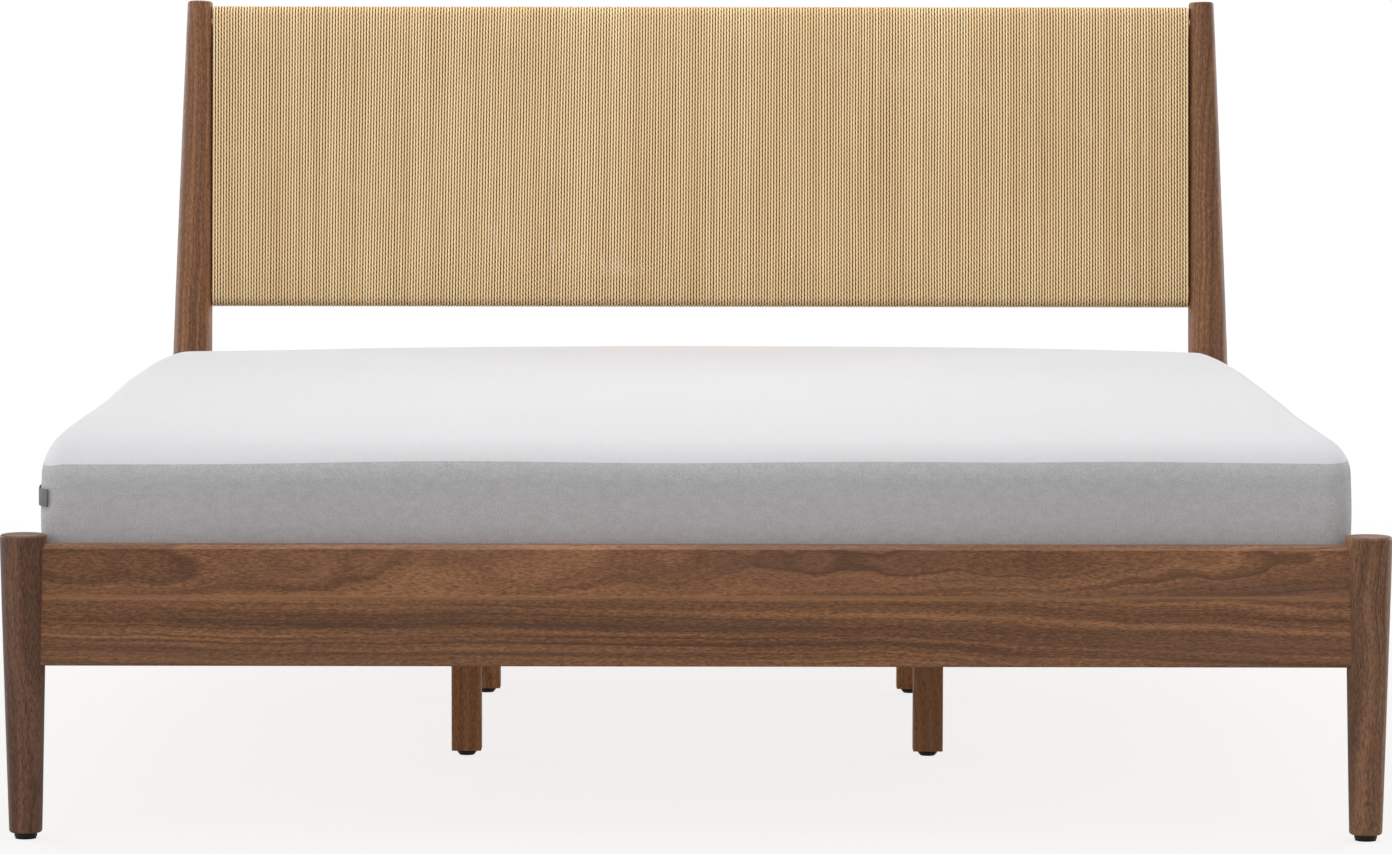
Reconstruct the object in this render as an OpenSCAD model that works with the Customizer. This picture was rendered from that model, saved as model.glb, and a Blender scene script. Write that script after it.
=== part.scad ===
// A platform bed in walnut with a headboard of wound paper cord, in millimetres.
// X runs across the bed, +Y from the foot to the head, Z = 0 is the floor.
// The origin is on the floor, in the middle of the bed's overall box.

/* [Mattress] */
// Width of the mattress
mattress_w = 1524; // [1300:1:1830]
// Length of the mattress
mattress_l = 2032; // [1900:1:2130]
// Height of the mattress at its middle
mattress_h = 202; // [140:1:280]
// How much the top falls from the middle to the long edges
mattress_crown = 4; // [2:1:30]
// How much further the top falls at the foot and the head
mattress_droop = 12; // [2:1:25]
// Corner radius seen from above
mattress_corner_r = 62; // [45:1:110]
// Radius of the rolled top edge
mattress_edge_r = 24; // [12:1:40]
// How far the sides are drawn in at half height
mattress_waist = 3; // [0:0.5:8]
// Gap between the mattress and the side rails
mattress_side_gap = 3.5; // [2:0.5:15]
// Gap between the mattress and the foot and head rails
mattress_end_gap = 4.5; // [2:0.5:15]
// Width of the handle strap on the mattress
strap_w = 24; // [15:1:40]
// Length of the handle strap along the side
strap_l = 170; // [100:1:260]
// Thickness of the handle strap
strap_t = 1.6; // [1:0.1:3]

/* [Rails] */
// Thickness of the side, foot and head rails
rail_t = 26; // [22:1:32]
// Height of the foot and head rails
rail_h = 141; // [110:1:170]
// How far the side rails' upper edges lie below those of the foot and head rails
side_rail_drop = 12; // [0:1:14]
// Height of the rails' lower edge above the floor
rail_z = 203; // [170:1:260]
// Size of the bevels along the rails' upper edges
rail_bevel = 5; // [2:0.5:7]
// Radius of the rails' lower edges
rail_low_r = 2; // [1:0.5:5]

/* [Foot posts] */
// Height of the foot posts above the upper edge of the rails
foot_post_rise = 11; // [5:1:40]
// Radius at the top
foot_top_r = 27.25; // [26:0.25:32]
// Radius at the bottom
foot_low_r = 19.25; // [17:0.25:24]

/* [Head posts] */
// Height of the top of the head posts above the floor
head_post_h = 964; // [850:1:1100]
// Greatest radius, at the middle of the rails
head_belly_r = 31.9; // [28:0.1:36]
// Radius at the top
head_top_r = 19.1; // [18:0.1:24]
// Radius at the bottom
head_low_r = 19.5; // [17:0.25:24]
// Backward slope of the posts and of the panel, in degrees
head_rake = 5.5; // [3:0.1:8]
// Radius of the turned edges of all posts
post_edge_r = 3.5; // [1.5:0.5:5]

/* [Headboard panel] */
// Height of the panel's lower edge above the floor
panel_low_z = 499; // [480:1:620]
// How far the panel's upper edge lies below the tops of the posts
panel_drop = 7; // [2:1:40]
// Thickness of the panel over the cord
panel_t = 30; // [26:1:40]
// Diameter of the paper cord
cord_d = 4; // [3:0.1:5]
// Number of turns of cord along the panel
cord_turns = 346; // [250:1:400]
// How deep the groove between two turns is
cord_groove = 1.1; // [0.5:0.1:1.5]
// Gap between the panel and the posts, at mid height
panel_end_gap = 1.5; // [1:0.5:6]
// Height of the wooden rails inside the panel
core_rail_h = 42; // [30:1:60]
// Width of the upright braces inside the panel
brace_w = 40; // [25:1:60]
// Thickness of the upright braces
brace_t = 16; // [12:1:18]
// Diameter of the round tenons of the panel's rails
tenon_d = 14; // [10:1:18]
// Length of these tenons inside the posts
tenon_l = 18; // [12:1:22]

/* [Slats and bearers] */
// Number of slats
slat_count = 14; // [10:1:16]
// Width of a slat
slat_w = 70; // [50:1:90]
// Thickness of a slat
slat_t = 18; // [14:1:24]
// Height of the ledges and of the bearers
bearer_h = 28; // [22:1:40]
// Distance from the foot and head rails to the nearest slats
slat_margin = 40; // [30:1:90]
// Width of the ledges
ledge_w = 25; // [18:1:35]
// Radius of the long edges of slats, ledges, bearers and support legs
eased_r = 2.5; // [1:0.5:5]
// Width of the two bearers under the slats
beam_w = 45; // [40:1:60]
// Distance from the middle of the bed to a bearer
beam_x = 297; // [200:1:400]
// How far the bearers' lower faces lie above the lower edge of the rails
beam_rise = 3.5; // [3:0.5:30]
// Thickness of the steel of the beam hangers
hanger_t = 2; // [1.5:0.5:3]
// Width of an ear of a hanger
hanger_ear = 20; // [16:1:30]
// Length of a hanger's seat
hanger_seat = 40; // [30:1:60]
// Distance from a side rail to the middle of a slat tape
tape_inset = 205; // [150:1:300]
// Width of a slat tape
tape_w = 25; // [15:1:40]
// Thickness of a slat tape
tape_t = 1; // [0.5:0.1:2]

/* [Support legs] */
// Side of a square support leg
leg_side = 38; // [32:1:45]
// Distance from the middle of the frame to a pair of legs
leg_y = 320; // [200:1:600]
// Height of the feet under posts and legs
foot_h = 7; // [5:0.5:10]
// Diameter of a leveller's foot at its top
leveller_d = 25; // [20:1:30]
// Diameter of a leveller's foot on the floor
leveller_low_d = 20; // [15:1:24]
// Diameter of a leveller's screw
screw_d = 8; // [6:1:10]
// Length of a leveller's screw
screw_l = 30; // [22:1:40]
// Diameter of a threaded insert
insert_d = 12; // [11:1:14]
// Length of a threaded insert
insert_l = 15; // [12:1:20]
// Diameter of the glides under the posts
glide_d = 26.5; // [22:0.5:30]
// Height of the felt under a glide
felt_h = 1.8; // [1:0.1:3]

/* [Fasteners] */
// Diameter of the bolts at the bed's corners
bolt_d = 8; // [6:1:10]
// Distance from the rail's lower edge to the lower bolt
bolt_low = 40; // [35:1:44]
// Distance between the two bolts of a corner
bolt_pitch = 61; // [50:1:62]
// Distance from a rail's end to the pocket for the nut
pocket_reach = 45; // [35:1:60]
// Radius of the nut pocket
pocket_r = 20; // [18:1:24]
// Diameter of the dowels
dowel_d = 10; // [8:1:12]
// Length of the dowels
dowel_l = 50; // [40:1:56]
// Distance between the dowels of a rail end
dowel_pitch = 50.5; // [40:0.5:60]
// Diameter of a wood screw's shank
wood_screw_d = 4; // [3:0.5:5]
// Diameter of a wood screw's head
wood_head_d = 8; // [7:0.5:10]
// Height of a wood screw's head
wood_head_h = 2.5; // [1.5:0.5:4]
// Length of a wood screw under its head
wood_screw_l = 30; // [25:1:40]

/* [Hidden] */

LEFT = -1;
RIGHT = 1;

// Clearances
fit_gap = 0.05;      // around a glued or driven pin, on the radius
housing_gap = 0.1;   // around a rail end in its housing
rest_gap = 0.3;      // between the mattress and what it lies on
thread_gap = 0.05;   // around a leveller's screw, on the radius
loose_gap = 0.5;     // at the ends of slats, ledges and bearers, and beside the posts
cut = 1;             // how far a cut runs past a face

// How the posts' taper sets in: 1 is straight, more is fuller
TAPER_UP = 1.2;
TAPER_DOWN = 1.25;
TAPER_FOOT = 1.1;

// Main places
post_x = mattress_w / 2 + mattress_side_gap + rail_t / 2;
inner_l = mattress_l + 2 * mattress_end_gap;
post_span = inner_l + rail_t;
rail_top_z = rail_z + rail_h;
side_rail_h = rail_h - side_rail_drop;
rail_mid_z = rail_z + rail_h / 2;
foot_post_h = rail_top_z + foot_post_rise;
housing_depth = 16;
head_up = (head_post_h - rail_mid_z) / cos(head_rake);
head_down = (rail_mid_z - foot_h) / cos(head_rake);
head_lean = atan((head_belly_r - head_top_r) / head_up);
head_back = (head_up - post_edge_r) * sin(head_rake) + (head_top_r - post_edge_r) * cos(head_rake) + post_edge_r;
place_step = 0.01;   // the posts' places are whole numbers of these, so that flat faces meet
foot_y = -floor((post_span + head_back - foot_top_r) / 2 / place_step) * place_step;
head_y = foot_y + post_span;
frame_mid_y = foot_y + post_span / 2;
side_rail_l = post_span - 2 * housing_depth;
cross_rail_l = 2 * (post_x - housing_depth);
inner_x = post_x - rail_t / 2;
foot_inner_y = foot_y + rail_t / 2;
head_inner_y = head_y - rail_t / 2;

// Slats and bearers
leg_bore_spare = 6;
leg_bore_gap = 1;
beam_z = rail_z + beam_rise;
slat_z = beam_z + bearer_h;
tape_z = slat_z + slat_t;
slat_l = 2 * (inner_x - loose_gap);
slat_first = slat_margin + slat_w / 2;
slat_pitch = (inner_l - 2 * slat_first) / (slat_count - 1);
beam_l = inner_l - 2 * (hanger_t + loose_gap);
mattress_z = tape_z + tape_t + rest_gap;
leg_top_z = beam_z;
leg_bore_l = screw_l + leg_bore_spare;
tape_x = inner_x - tape_inset;
// The ledges run from post to post
ledge_low_y = foot_y + foot_top_r + loose_gap;
ledge_high_y = head_y - (rail_mid_z - beam_z) * tan(head_rake) - head_belly_r - loose_gap;
ledge_l = ledge_high_y - ledge_low_y;

// Where the posts stand
head_foot_y = head_y - (rail_mid_z - foot_h) * tan(head_rake);
head_foot_x = post_x + (rail_mid_z - foot_h) * tan(head_lean) / cos(head_rake);
POST_FEET = [
    [LEFT * post_x, foot_y], [RIGHT * post_x, foot_y],
    [LEFT * head_foot_x, head_foot_y], [RIGHT * head_foot_x, head_foot_y]
];
LEG_PLACES = [
    [LEFT * beam_x, frame_mid_y - leg_y], [RIGHT * beam_x, frame_mid_y - leg_y],
    [LEFT * beam_x, frame_mid_y + leg_y], [RIGHT * beam_x, frame_mid_y + leg_y]
];

// The panel lies in the plane of the head posts; distances run along its slope
panel_low_s = (panel_low_z - rail_mid_z) / cos(head_rake);
panel_top_s = head_up - panel_drop;
panel_mid_s = (panel_low_s + panel_top_s) / 2;
core_t = panel_t - 2 * cord_d;
panel_step = 0.1;    // the panel's half width is a whole number of these
panel_room = post_x - panel_mid_s * tan(head_lean) - post_radius_above(panel_mid_s);
panel_half_w = floor((panel_room - panel_end_gap) / panel_step) * panel_step;
brace_x = panel_half_w / 3;
brace_low_s = panel_low_s + cord_d + core_rail_h;
brace_top_s = panel_top_s - cord_d - core_rail_h;
brace_pin_d = 8;
brace_pin_l = 16;
tenon_root = 2;      // of a tenon inside its rail

// Corner bolts, dowels and screws
bolt_inset = 2;      // from the middle of a side rail towards the mattress
washer_edge = 2;     // from a washer's side to the rail's inner face
pocket_spare = 3;
slat_screw_short = 12;
bolt_x = post_x - bolt_inset;
bolt_in_post = 20;
bolt_past_nut = 6;
washer_t = 3;
nut_h = 6.5;
nut_af = 13;
washer_w = 2 * (bolt_x - inner_x - washer_edge);
washer_h = 28;
bolt_zs = [rail_z + bolt_low, rail_z + bolt_low + bolt_pitch];
bolt_l = bolt_in_post + pocket_reach + washer_t + nut_h + bolt_past_nut;
dowel_zs = [rail_mid_z - dowel_pitch, rail_mid_z, rail_mid_z + dowel_pitch];
pocket_depth = bolt_x - inner_x + nut_af / 2 + pocket_spare;
ledge_screw_count = 8;
ledge_screw_end = 70;
slat_screw_in = ledge_w / 2;
slat_screw_l = slat_t + bearer_h - slat_screw_short;
leg_stud_l = 50;
leg_stud_up = 22;
glide_pin_d = 6;
glide_pin_l = 14;
turned_edge = 1;     // bevel of levellers and glides

walnut = [0.42, 0.29, 0.21];
walnut_dark = [0.36, 0.24, 0.17];
pine = [0.78, 0.66, 0.49];
beech = [0.80, 0.66, 0.48];
cord_tan = [0.76, 0.64, 0.49];
foam_white = [0.90, 0.90, 0.92];
strap_grey = [0.53, 0.53, 0.54];
tape_grey = [0.25, 0.25, 0.26];
nylon_brown = [0.22, 0.15, 0.12];
felt_black = [0.06, 0.06, 0.06];
steel = [0.62, 0.63, 0.65];

$fn = 64;

// Radius of a head post at a distance above or below the middle of the rails
function post_radius_above(s) = head_belly_r - (head_belly_r - head_top_r) * pow(s / head_up, TAPER_UP);
function post_radius_below(s) = head_belly_r - (head_belly_r - head_low_r) * pow(s / head_down, TAPER_DOWN);
// Radius of a foot post at a height above the floor
function foot_radius(z) =
    foot_top_r - (foot_top_r - foot_low_r) * pow((foot_post_h - z) / (foot_post_h - foot_h), TAPER_FOOT);
// A quarter round of radius e whose centre is at [x, z], from one angle to another
function edge_arc(x, z, e, from, to, steps = 5) =
    [for (i = [0 : steps]) [x + e * cos(from + (to - from) * i / steps), z + e * sin(from + (to - from) * i / steps)]];

// A rectangle round the origin whose corners are rounded
module eased_section(w, h, r = eased_r) {
    square([w - 2 * r, h], center = true);
    square([w, h - 2 * r], center = true);
    for (sx = [LEFT, RIGHT], sy = [LEFT, RIGHT])
        translate([sx * (w / 2 - r), sy * (h / 2 - r)])
            circle(r);
}

// Bars with eased long edges, which run along X or Y from 0 with the axis in their middle
module bar_along_x(l, w, h) {
    rotate([90, 0, 90])
        linear_extrude(l)
            eased_section(w, h);
}

module bar_along_y(l, w, h) {
    translate([0, l, 0])
        rotate([90, 0, 0])
            linear_extrude(l)
                eased_section(w, h);
}

// ---- Turned posts ----

module foot_post(side) {
    color(walnut)
    difference() {
        translate([side * post_x, foot_y, 0])
            rotate_extrude()
                polygon(concat(
                    [[0, foot_h]],
                    edge_arc(foot_low_r - post_edge_r, foot_h + post_edge_r, post_edge_r, -90, 0),
                    [for (i = [1 : 9]) let (z = foot_h + (foot_post_h - foot_h) * i / 10) [foot_radius(z), z]],
                    edge_arc(foot_top_r - post_edge_r, foot_post_h - post_edge_r, post_edge_r, 0, 90),
                    [[0, foot_post_h]]
                ));
        foot_rail_solid(housing_gap);
        side_rail_solid(side, housing_gap);
        corner_bolt_bores(side, foot_y, 1);
        dowel_bores(foot_y);
        glide_pin_bores();
    }
}

module head_post(side) {
    color(walnut)
    difference() {
        translate([side * post_x, head_y, rail_mid_z])
            rotate([-head_rake, -side * head_lean, 0])
                rotate_extrude()
                    polygon(concat(
                        [[0, -head_down - foot_h * 2]],
                        [[head_low_r, -head_down - foot_h * 2]],
                        [for (i = [0 : 5]) let (s = head_down * (1 - i / 6)) [post_radius_below(s), -s]],
                        [for (i = [0 : 11]) let (s = head_up * i / 12) [post_radius_above(s), s]],
                        edge_arc(head_top_r - post_edge_r, head_up - post_edge_r, post_edge_r, 0, 90),
                        [[0, head_up]]
                    ));
        translate([side * head_foot_x, head_foot_y, foot_h - 2 * head_low_r])
            cube(4 * head_low_r, center = true);
        head_rail_solid(housing_gap);
        side_rail_solid(side, housing_gap);
        corner_bolt_bores(side, head_y, -1);
        dowel_bores(head_y);
        panel_tenons(fit_gap);
        glide_pin_bores();
    }
}

module foot_post_left() { foot_post(LEFT); }
module foot_post_right() { foot_post(RIGHT); }
module head_post_left() { head_post(LEFT); }
module head_post_right() { head_post(RIGHT); }

// ---- Rails ----

// Section of a rail of height h, standing on its lower edge, grown all round by a gap
module rail_section(h, gap = 0) {
    half = rail_t / 2 + gap;
    top = h + gap;
    low_r = rail_low_r + gap;
    bevel = rail_bevel + gap * (2 - sqrt(2));
    polygon([
        [-half, low_r - gap], [half, low_r - gap], [half, top - bevel],
        [half - bevel, top], [bevel - half, top], [-half, top - bevel]
    ]);
    translate([-half + low_r, -gap])
        square([2 * (half - low_r), h / 2]);
    for (s = [LEFT, RIGHT])
        translate([s * (half - low_r), low_r - gap])
            circle(low_r);
}

module side_rail_solid(side, gap = 0) {
    translate([side * post_x, foot_y + housing_depth + side_rail_l, rail_z])
        rotate([90, 0, 0])
            linear_extrude(side_rail_l)
                rail_section(side_rail_h, gap);
}

module cross_rail_solid(y, gap = 0) {
    translate([-cross_rail_l / 2, y, rail_z])
        rotate([90, 0, 90])
            linear_extrude(cross_rail_l)
                rail_section(rail_h, gap);
}

module foot_rail_solid(gap = 0) { cross_rail_solid(foot_y, gap); }
module head_rail_solid(gap = 0) { cross_rail_solid(head_y, gap); }

module side_rail(side) {
    color(walnut)
    difference() {
        side_rail_solid(side);
        corner_bolt_bores(side, foot_y, 1);
        corner_bolt_bores(side, head_y, -1);
        nut_pocket(side, foot_y + housing_depth + pocket_reach, 1);
        nut_pocket(side, head_y - housing_depth - pocket_reach, -1);
        ledge_screw_bores(side);
    }
}

module side_rail_left() { side_rail(LEFT); }
module side_rail_right() { side_rail(RIGHT); }

module foot_rail() {
    color(walnut)
    difference() {
        foot_rail_solid();
        dowel_bores(foot_y);
        hanger_screw_bores();
    }
}

module head_rail() {
    color(walnut)
    difference() {
        head_rail_solid();
        dowel_bores(head_y);
        hanger_screw_bores();
    }
}

// ---- Corner bolts: stud, plate washer and nut in a half round pocket ----

// towards is 1 at the foot, where the rail runs to +Y, and -1 at the head
module corner_bolt_bores(side, y, towards) {
    start = housing_depth - bolt_in_post;
    for (z = bolt_zs)
        translate([side * bolt_x, y + towards * start, z])
            rotate([-90 * towards, 0, 0])
                cylinder(h = bolt_in_post + pocket_reach + cut, r = bolt_d / 2 + fit_gap);
}

module nut_pocket(side, y, towards) {
    for (z = bolt_zs)
        intersection() {
            translate([side * (inner_x + pocket_depth / 2 - cut / 2), y, z])
                rotate([0, 90, 0])
                    cylinder(h = pocket_depth + cut, r = pocket_r, center = true);
            translate([side * inner_x, y + towards * pocket_r, z])
                cube([4 * rail_t, 2 * pocket_r, 3 * pocket_r], center = true);
        }
}

module each_bolt() {
    for (side = [LEFT, RIGHT], z = bolt_zs) {
        translate([side * bolt_x, foot_y + housing_depth, z])
            rotate([-90, 0, 0])
                children();
        translate([side * bolt_x, head_y - housing_depth, z])
            rotate([90, 0, 0])
                children();
    }
}

module rail_studs() {
    color(steel)
        each_bolt()
            translate([0, 0, -bolt_in_post])
                cylinder(h = bolt_l, r = bolt_d / 2);
}

module rail_washers() {
    color(steel)
        each_bolt()
            translate([0, 0, pocket_reach])
                difference() {
                    translate([0, 0, washer_t / 2])
                        cube([washer_w, washer_h, washer_t], center = true);
                    translate([0, 0, -cut])
                        cylinder(h = washer_t + 2 * cut, r = bolt_d / 2 + fit_gap);
                }
}

module rail_nuts() {
    color(steel)
        each_bolt()
            translate([0, 0, pocket_reach + washer_t])
                difference() {
                    cylinder(h = nut_h, r = nut_af / 2 / cos(30), $fn = 6);
                    translate([0, 0, -cut])
                        cylinder(h = nut_h + 2 * cut, r = bolt_d / 2 + fit_gap);
                }
}

// ---- Dowels of the foot and head rails ----

module dowel_row(y, grow) {
    for (side = [LEFT, RIGHT], z = dowel_zs)
        translate([side * (post_x - housing_depth), y, z])
            rotate([0, 90, 0])
                cylinder(h = dowel_l + 2 * grow, r = dowel_d / 2 + grow, center = true);
}

module dowel_bores(y) { dowel_row(y, fit_gap); }

module rail_dowels() {
    color(beech) {
        dowel_row(foot_y, 0);
        dowel_row(head_y, 0);
    }
}

// ---- Ledges along the side rails ----

ledge_screw_ys = [
    for (i = [0 : ledge_screw_count - 1])
        foot_inner_y + ledge_screw_end + (inner_l - 2 * ledge_screw_end) * i / (ledge_screw_count - 1)
];

module ledge_screw_row(side, grow) {
    for (y = ledge_screw_ys)
        translate([side * (inner_x - ledge_w), y, beam_z + bearer_h / 2])
            rotate([0, side * 90, 0]) {
                translate([0, 0, -grow])
                    cylinder(h = wood_head_h + 2 * grow, r = wood_head_d / 2 + grow);
                cylinder(h = wood_head_h + wood_screw_l + grow, r = wood_screw_d / 2 + grow);
            }
}

module ledge_screw_bores(side) { ledge_screw_row(side, fit_gap); }

module slat_ledge(side) {
    color(pine)
    difference() {
        translate([side * (inner_x - ledge_w / 2), ledge_low_y, beam_z + bearer_h / 2])
            bar_along_y(ledge_l, ledge_w, bearer_h);
        ledge_screw_bores(side);
        slat_screw_bores();
    }
}

module slat_ledge_left() { slat_ledge(LEFT); }
module slat_ledge_right() { slat_ledge(RIGHT); }

module ledge_screws() {
    color(steel) {
        ledge_screw_row(LEFT, 0);
        ledge_screw_row(RIGHT, 0);
    }
}

// ---- Bearers, their hangers and the support legs ----

module centre_beam(side) {
    color(walnut_dark)
    difference() {
        translate([side * beam_x, foot_inner_y + (inner_l - beam_l) / 2, beam_z + bearer_h / 2])
            bar_along_y(beam_l, beam_w, bearer_h);
        leg_stud_bores();
    }
}

module centre_beam_left() { centre_beam(LEFT); }
module centre_beam_right() { centre_beam(RIGHT); }

hanger_inner_w = beam_w + 2 * loose_gap;
hanger_screw_x = hanger_inner_w / 2 + hanger_t + hanger_ear / 2;
hanger_side_part = 0.8;
hanger_screw_part = 0.7;

// A saddle at y = 0 whose back plate faces +Y into the bed
module hanger() {
    difference() {
        union() {
            translate([-hanger_inner_w / 2 - hanger_t - hanger_ear, 0, -hanger_t])
                cube([hanger_inner_w + 2 * hanger_t + 2 * hanger_ear, hanger_t, bearer_h + hanger_t]);
            translate([-hanger_inner_w / 2 - hanger_t, 0, -hanger_t])
                cube([hanger_inner_w + 2 * hanger_t, hanger_seat, hanger_t]);
            for (s = [LEFT, RIGHT])
                translate([s * (hanger_inner_w + hanger_t) / 2 - hanger_t / 2, 0, -hanger_t])
                    cube([hanger_t, hanger_seat, bearer_h * hanger_side_part]);
        }
        for (s = [LEFT, RIGHT])
            translate([s * hanger_screw_x, hanger_t + cut, bearer_h / 2])
                rotate([90, 0, 0])
                    cylinder(h = hanger_t + 2 * cut, r = wood_screw_d / 2 + fit_gap);
    }
}

module each_hanger() {
    for (side = [LEFT, RIGHT]) {
        translate([side * beam_x, foot_inner_y, beam_z])
            children();
        translate([side * beam_x, head_inner_y, beam_z])
            rotate([0, 0, 180])
                children();
    }
}

module beam_hangers() {
    color(steel)
        each_hanger()
            hanger();
}

module hanger_screw_pair(grow) {
    for (s = [LEFT, RIGHT])
        translate([s * hanger_screw_x, hanger_t, bearer_h / 2])
            rotate([90, 0, 0]) {
                translate([0, 0, -wood_head_h])
                    cylinder(h = wood_head_h, r = wood_head_d / 2);
                cylinder(h = hanger_t + rail_t * hanger_screw_part + grow, r = wood_screw_d / 2 + grow);
            }
}

module hanger_screw_bores() {
    each_hanger()
        hanger_screw_pair(fit_gap);
}

module hanger_screws() {
    color(steel)
        each_hanger()
            hanger_screw_pair(0);
}

module leg_stud_row(grow) {
    for (p = LEG_PLACES)
        translate([p[0], p[1], leg_top_z + leg_stud_up - leg_stud_l - grow])
            cylinder(h = leg_stud_l + 2 * grow, r = screw_d / 2 + grow);
}

module leg_stud_bores() { leg_stud_row(fit_gap); }

module support_leg_studs() {
    color(steel)
        leg_stud_row(0);
}

module support_leg(index) {
    p = LEG_PLACES[index];
    color(walnut_dark)
    difference() {
        translate([p[0], p[1], foot_h])
            linear_extrude(leg_top_z - foot_h)
                eased_section(leg_side, leg_side);
        translate([p[0], p[1], foot_h - cut])
            cylinder(h = insert_l + cut, r = insert_d / 2 + fit_gap);
        translate([p[0], p[1], foot_h])
            cylinder(h = leg_bore_l, r = screw_d / 2 + leg_bore_gap);
        leg_stud_bores();
    }
}

module support_leg_1() { support_leg(0); }
module support_leg_2() { support_leg(1); }
module support_leg_3() { support_leg(2); }
module support_leg_4() { support_leg(3); }

module leveller_inserts() {
    color(steel)
    for (p = LEG_PLACES)
        translate([p[0], p[1], foot_h])
            difference() {
                cylinder(h = insert_l, r = insert_d / 2);
                translate([0, 0, -cut])
                    cylinder(h = insert_l + 2 * cut, r = screw_d / 2 + thread_gap);
            }
}

// How far up a leveller's foot widens
LEVELLER_FLARE = 0.55;

// A foot on a screw; its top edge and its lower edge are turned
module leveller(index) {
    p = LEG_PLACES[index];
    color(nylon_brown)
    translate([p[0], p[1], 0])
        rotate_extrude()
            polygon([
                [0, 0],
                [leveller_low_d / 2 - turned_edge, 0],
                [leveller_low_d / 2, turned_edge],
                [leveller_d / 2, foot_h * LEVELLER_FLARE],
                [leveller_d / 2, foot_h - turned_edge],
                [leveller_d / 2 - turned_edge, foot_h],
                [screw_d / 2, foot_h],
                [screw_d / 2, foot_h + screw_l - turned_edge],
                [screw_d / 2 - turned_edge, foot_h + screw_l],
                [0, foot_h + screw_l]
            ]);
}

module leveller_1() { leveller(0); }
module leveller_2() { leveller(1); }
module leveller_3() { leveller(2); }
module leveller_4() { leveller(3); }

// ---- Glides under the posts ----

module glide_pin(p, grow) {
    translate([p[0], p[1], foot_h - cut])
        cylinder(h = glide_pin_l + cut + grow, r = glide_pin_d / 2 + grow);
}

module glide_pin_bores() {
    for (p = POST_FEET)
        glide_pin(p, fit_gap);
}

module post_glide(index) {
    p = POST_FEET[index];
    color(nylon_brown) {
        translate([p[0], p[1], 0])
            rotate_extrude()
                polygon([
                    [0, felt_h],
                    [glide_d / 2 - turned_edge, felt_h],
                    [glide_d / 2, felt_h + turned_edge],
                    [glide_d / 2, foot_h - turned_edge],
                    [glide_d / 2 - turned_edge, foot_h],
                    [0, foot_h]
                ]);
        glide_pin(p, 0);
    }
}

module post_glide_1() { post_glide(0); }
module post_glide_2() { post_glide(1); }
module post_glide_3() { post_glide(2); }
module post_glide_4() { post_glide(3); }

module glide_felts() {
    color(felt_black)
    for (p = POST_FEET)
        translate([p[0], p[1], 0])
            cylinder(h = felt_h, r = glide_d / 2 - turned_edge);
}

// ---- Slats ----

function slat_y(index) = foot_inner_y + slat_first + slat_pitch * index;

module slat_screw_row(grow) {
    for (i = [0 : slat_count - 1], side = [LEFT, RIGHT])
        translate([side * (inner_x - slat_screw_in), slat_y(i), tape_z - slat_screw_l])
            union() {
                translate([0, 0, -grow])
                    cylinder(h = slat_screw_l + grow, r = wood_screw_d / 2 + grow);
                translate([0, 0, slat_screw_l - wood_head_h - grow])
                    cylinder(h = wood_head_h + 2 * grow, r = wood_head_d / 2 + grow);
            }
}

module slat_screw_bores() { slat_screw_row(fit_gap); }

module slat_screws() {
    color(steel)
        slat_screw_row(0);
}

module slat(index) {
    if (index < slat_count)
        color(pine)
        difference() {
            translate([-slat_l / 2, slat_y(index), slat_z + slat_t / 2])
                bar_along_x(slat_l, slat_w, slat_t);
            slat_screw_bores();
        }
}

module slat_tape(side) {
    color(tape_grey)
        translate([side * tape_x - tape_w / 2, slat_y(0) - slat_w / 2, tape_z])
            cube([tape_w, slat_pitch * (slat_count - 1) + slat_w, tape_t]);
}

module slat_tape_left() { slat_tape(LEFT); }
module slat_tape_right() { slat_tape(RIGHT); }

// ---- Headboard panel ----

// Stands what is drawn along Z in the sloping plane of the head posts
module in_panel_plane() {
    translate([0, head_y, rail_mid_z])
        rotate([-head_rake, 0, 0])
            children();
}

// Section of a panel rail: half round on its outer side, in the plane of Y and Z
module core_section() {
    translate([0, core_t / 2])
        circle(core_t / 2);
    translate([-core_t / 2, core_t / 2])
        square([core_t, core_rail_h - core_t / 2]);
}

module core_rail(flip) {
    rotate([0, 0, 90])
        rotate([90, 0, 0])
            translate([0, 0, -panel_half_w])
                linear_extrude(2 * panel_half_w)
                    mirror([0, flip ? 1 : 0])
                        core_section();
}

module tenon_pair(s, grow) {
    for (side = [LEFT, RIGHT])
        translate([side * (panel_half_w - tenon_root), 0, s])
            rotate([0, side * 90, 0])
                cylinder(h = tenon_root + panel_end_gap + tenon_l + grow, r = tenon_d / 2 + grow);
}

tenon_low_s = panel_low_s + cord_d + core_rail_h / 2;
tenon_top_s = panel_top_s - cord_d - core_rail_h / 2;

module panel_tenons(grow) {
    in_panel_plane() {
        tenon_pair(tenon_low_s, grow);
        tenon_pair(tenon_top_s, grow);
    }
}

module brace_pins(grow) {
    for (side = [LEFT, RIGHT], s = [brace_low_s, brace_top_s])
        translate([side * brace_x, 0, s])
            cylinder(h = 2 * (brace_pin_l + grow), r = brace_pin_d / 2 + grow, center = true);
}

module headboard_bottom_rail() {
    color(pine)
    in_panel_plane()
        difference() {
            union() {
                translate([0, 0, panel_low_s + cord_d])
                    core_rail(false);
                tenon_pair(tenon_low_s, 0);
            }
            brace_pins(fit_gap);
        }
}

module headboard_top_rail() {
    color(pine)
    in_panel_plane()
        difference() {
            union() {
                translate([0, 0, panel_top_s - cord_d])
                    core_rail(true);
                tenon_pair(tenon_top_s, 0);
            }
            brace_pins(fit_gap);
        }
}

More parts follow.
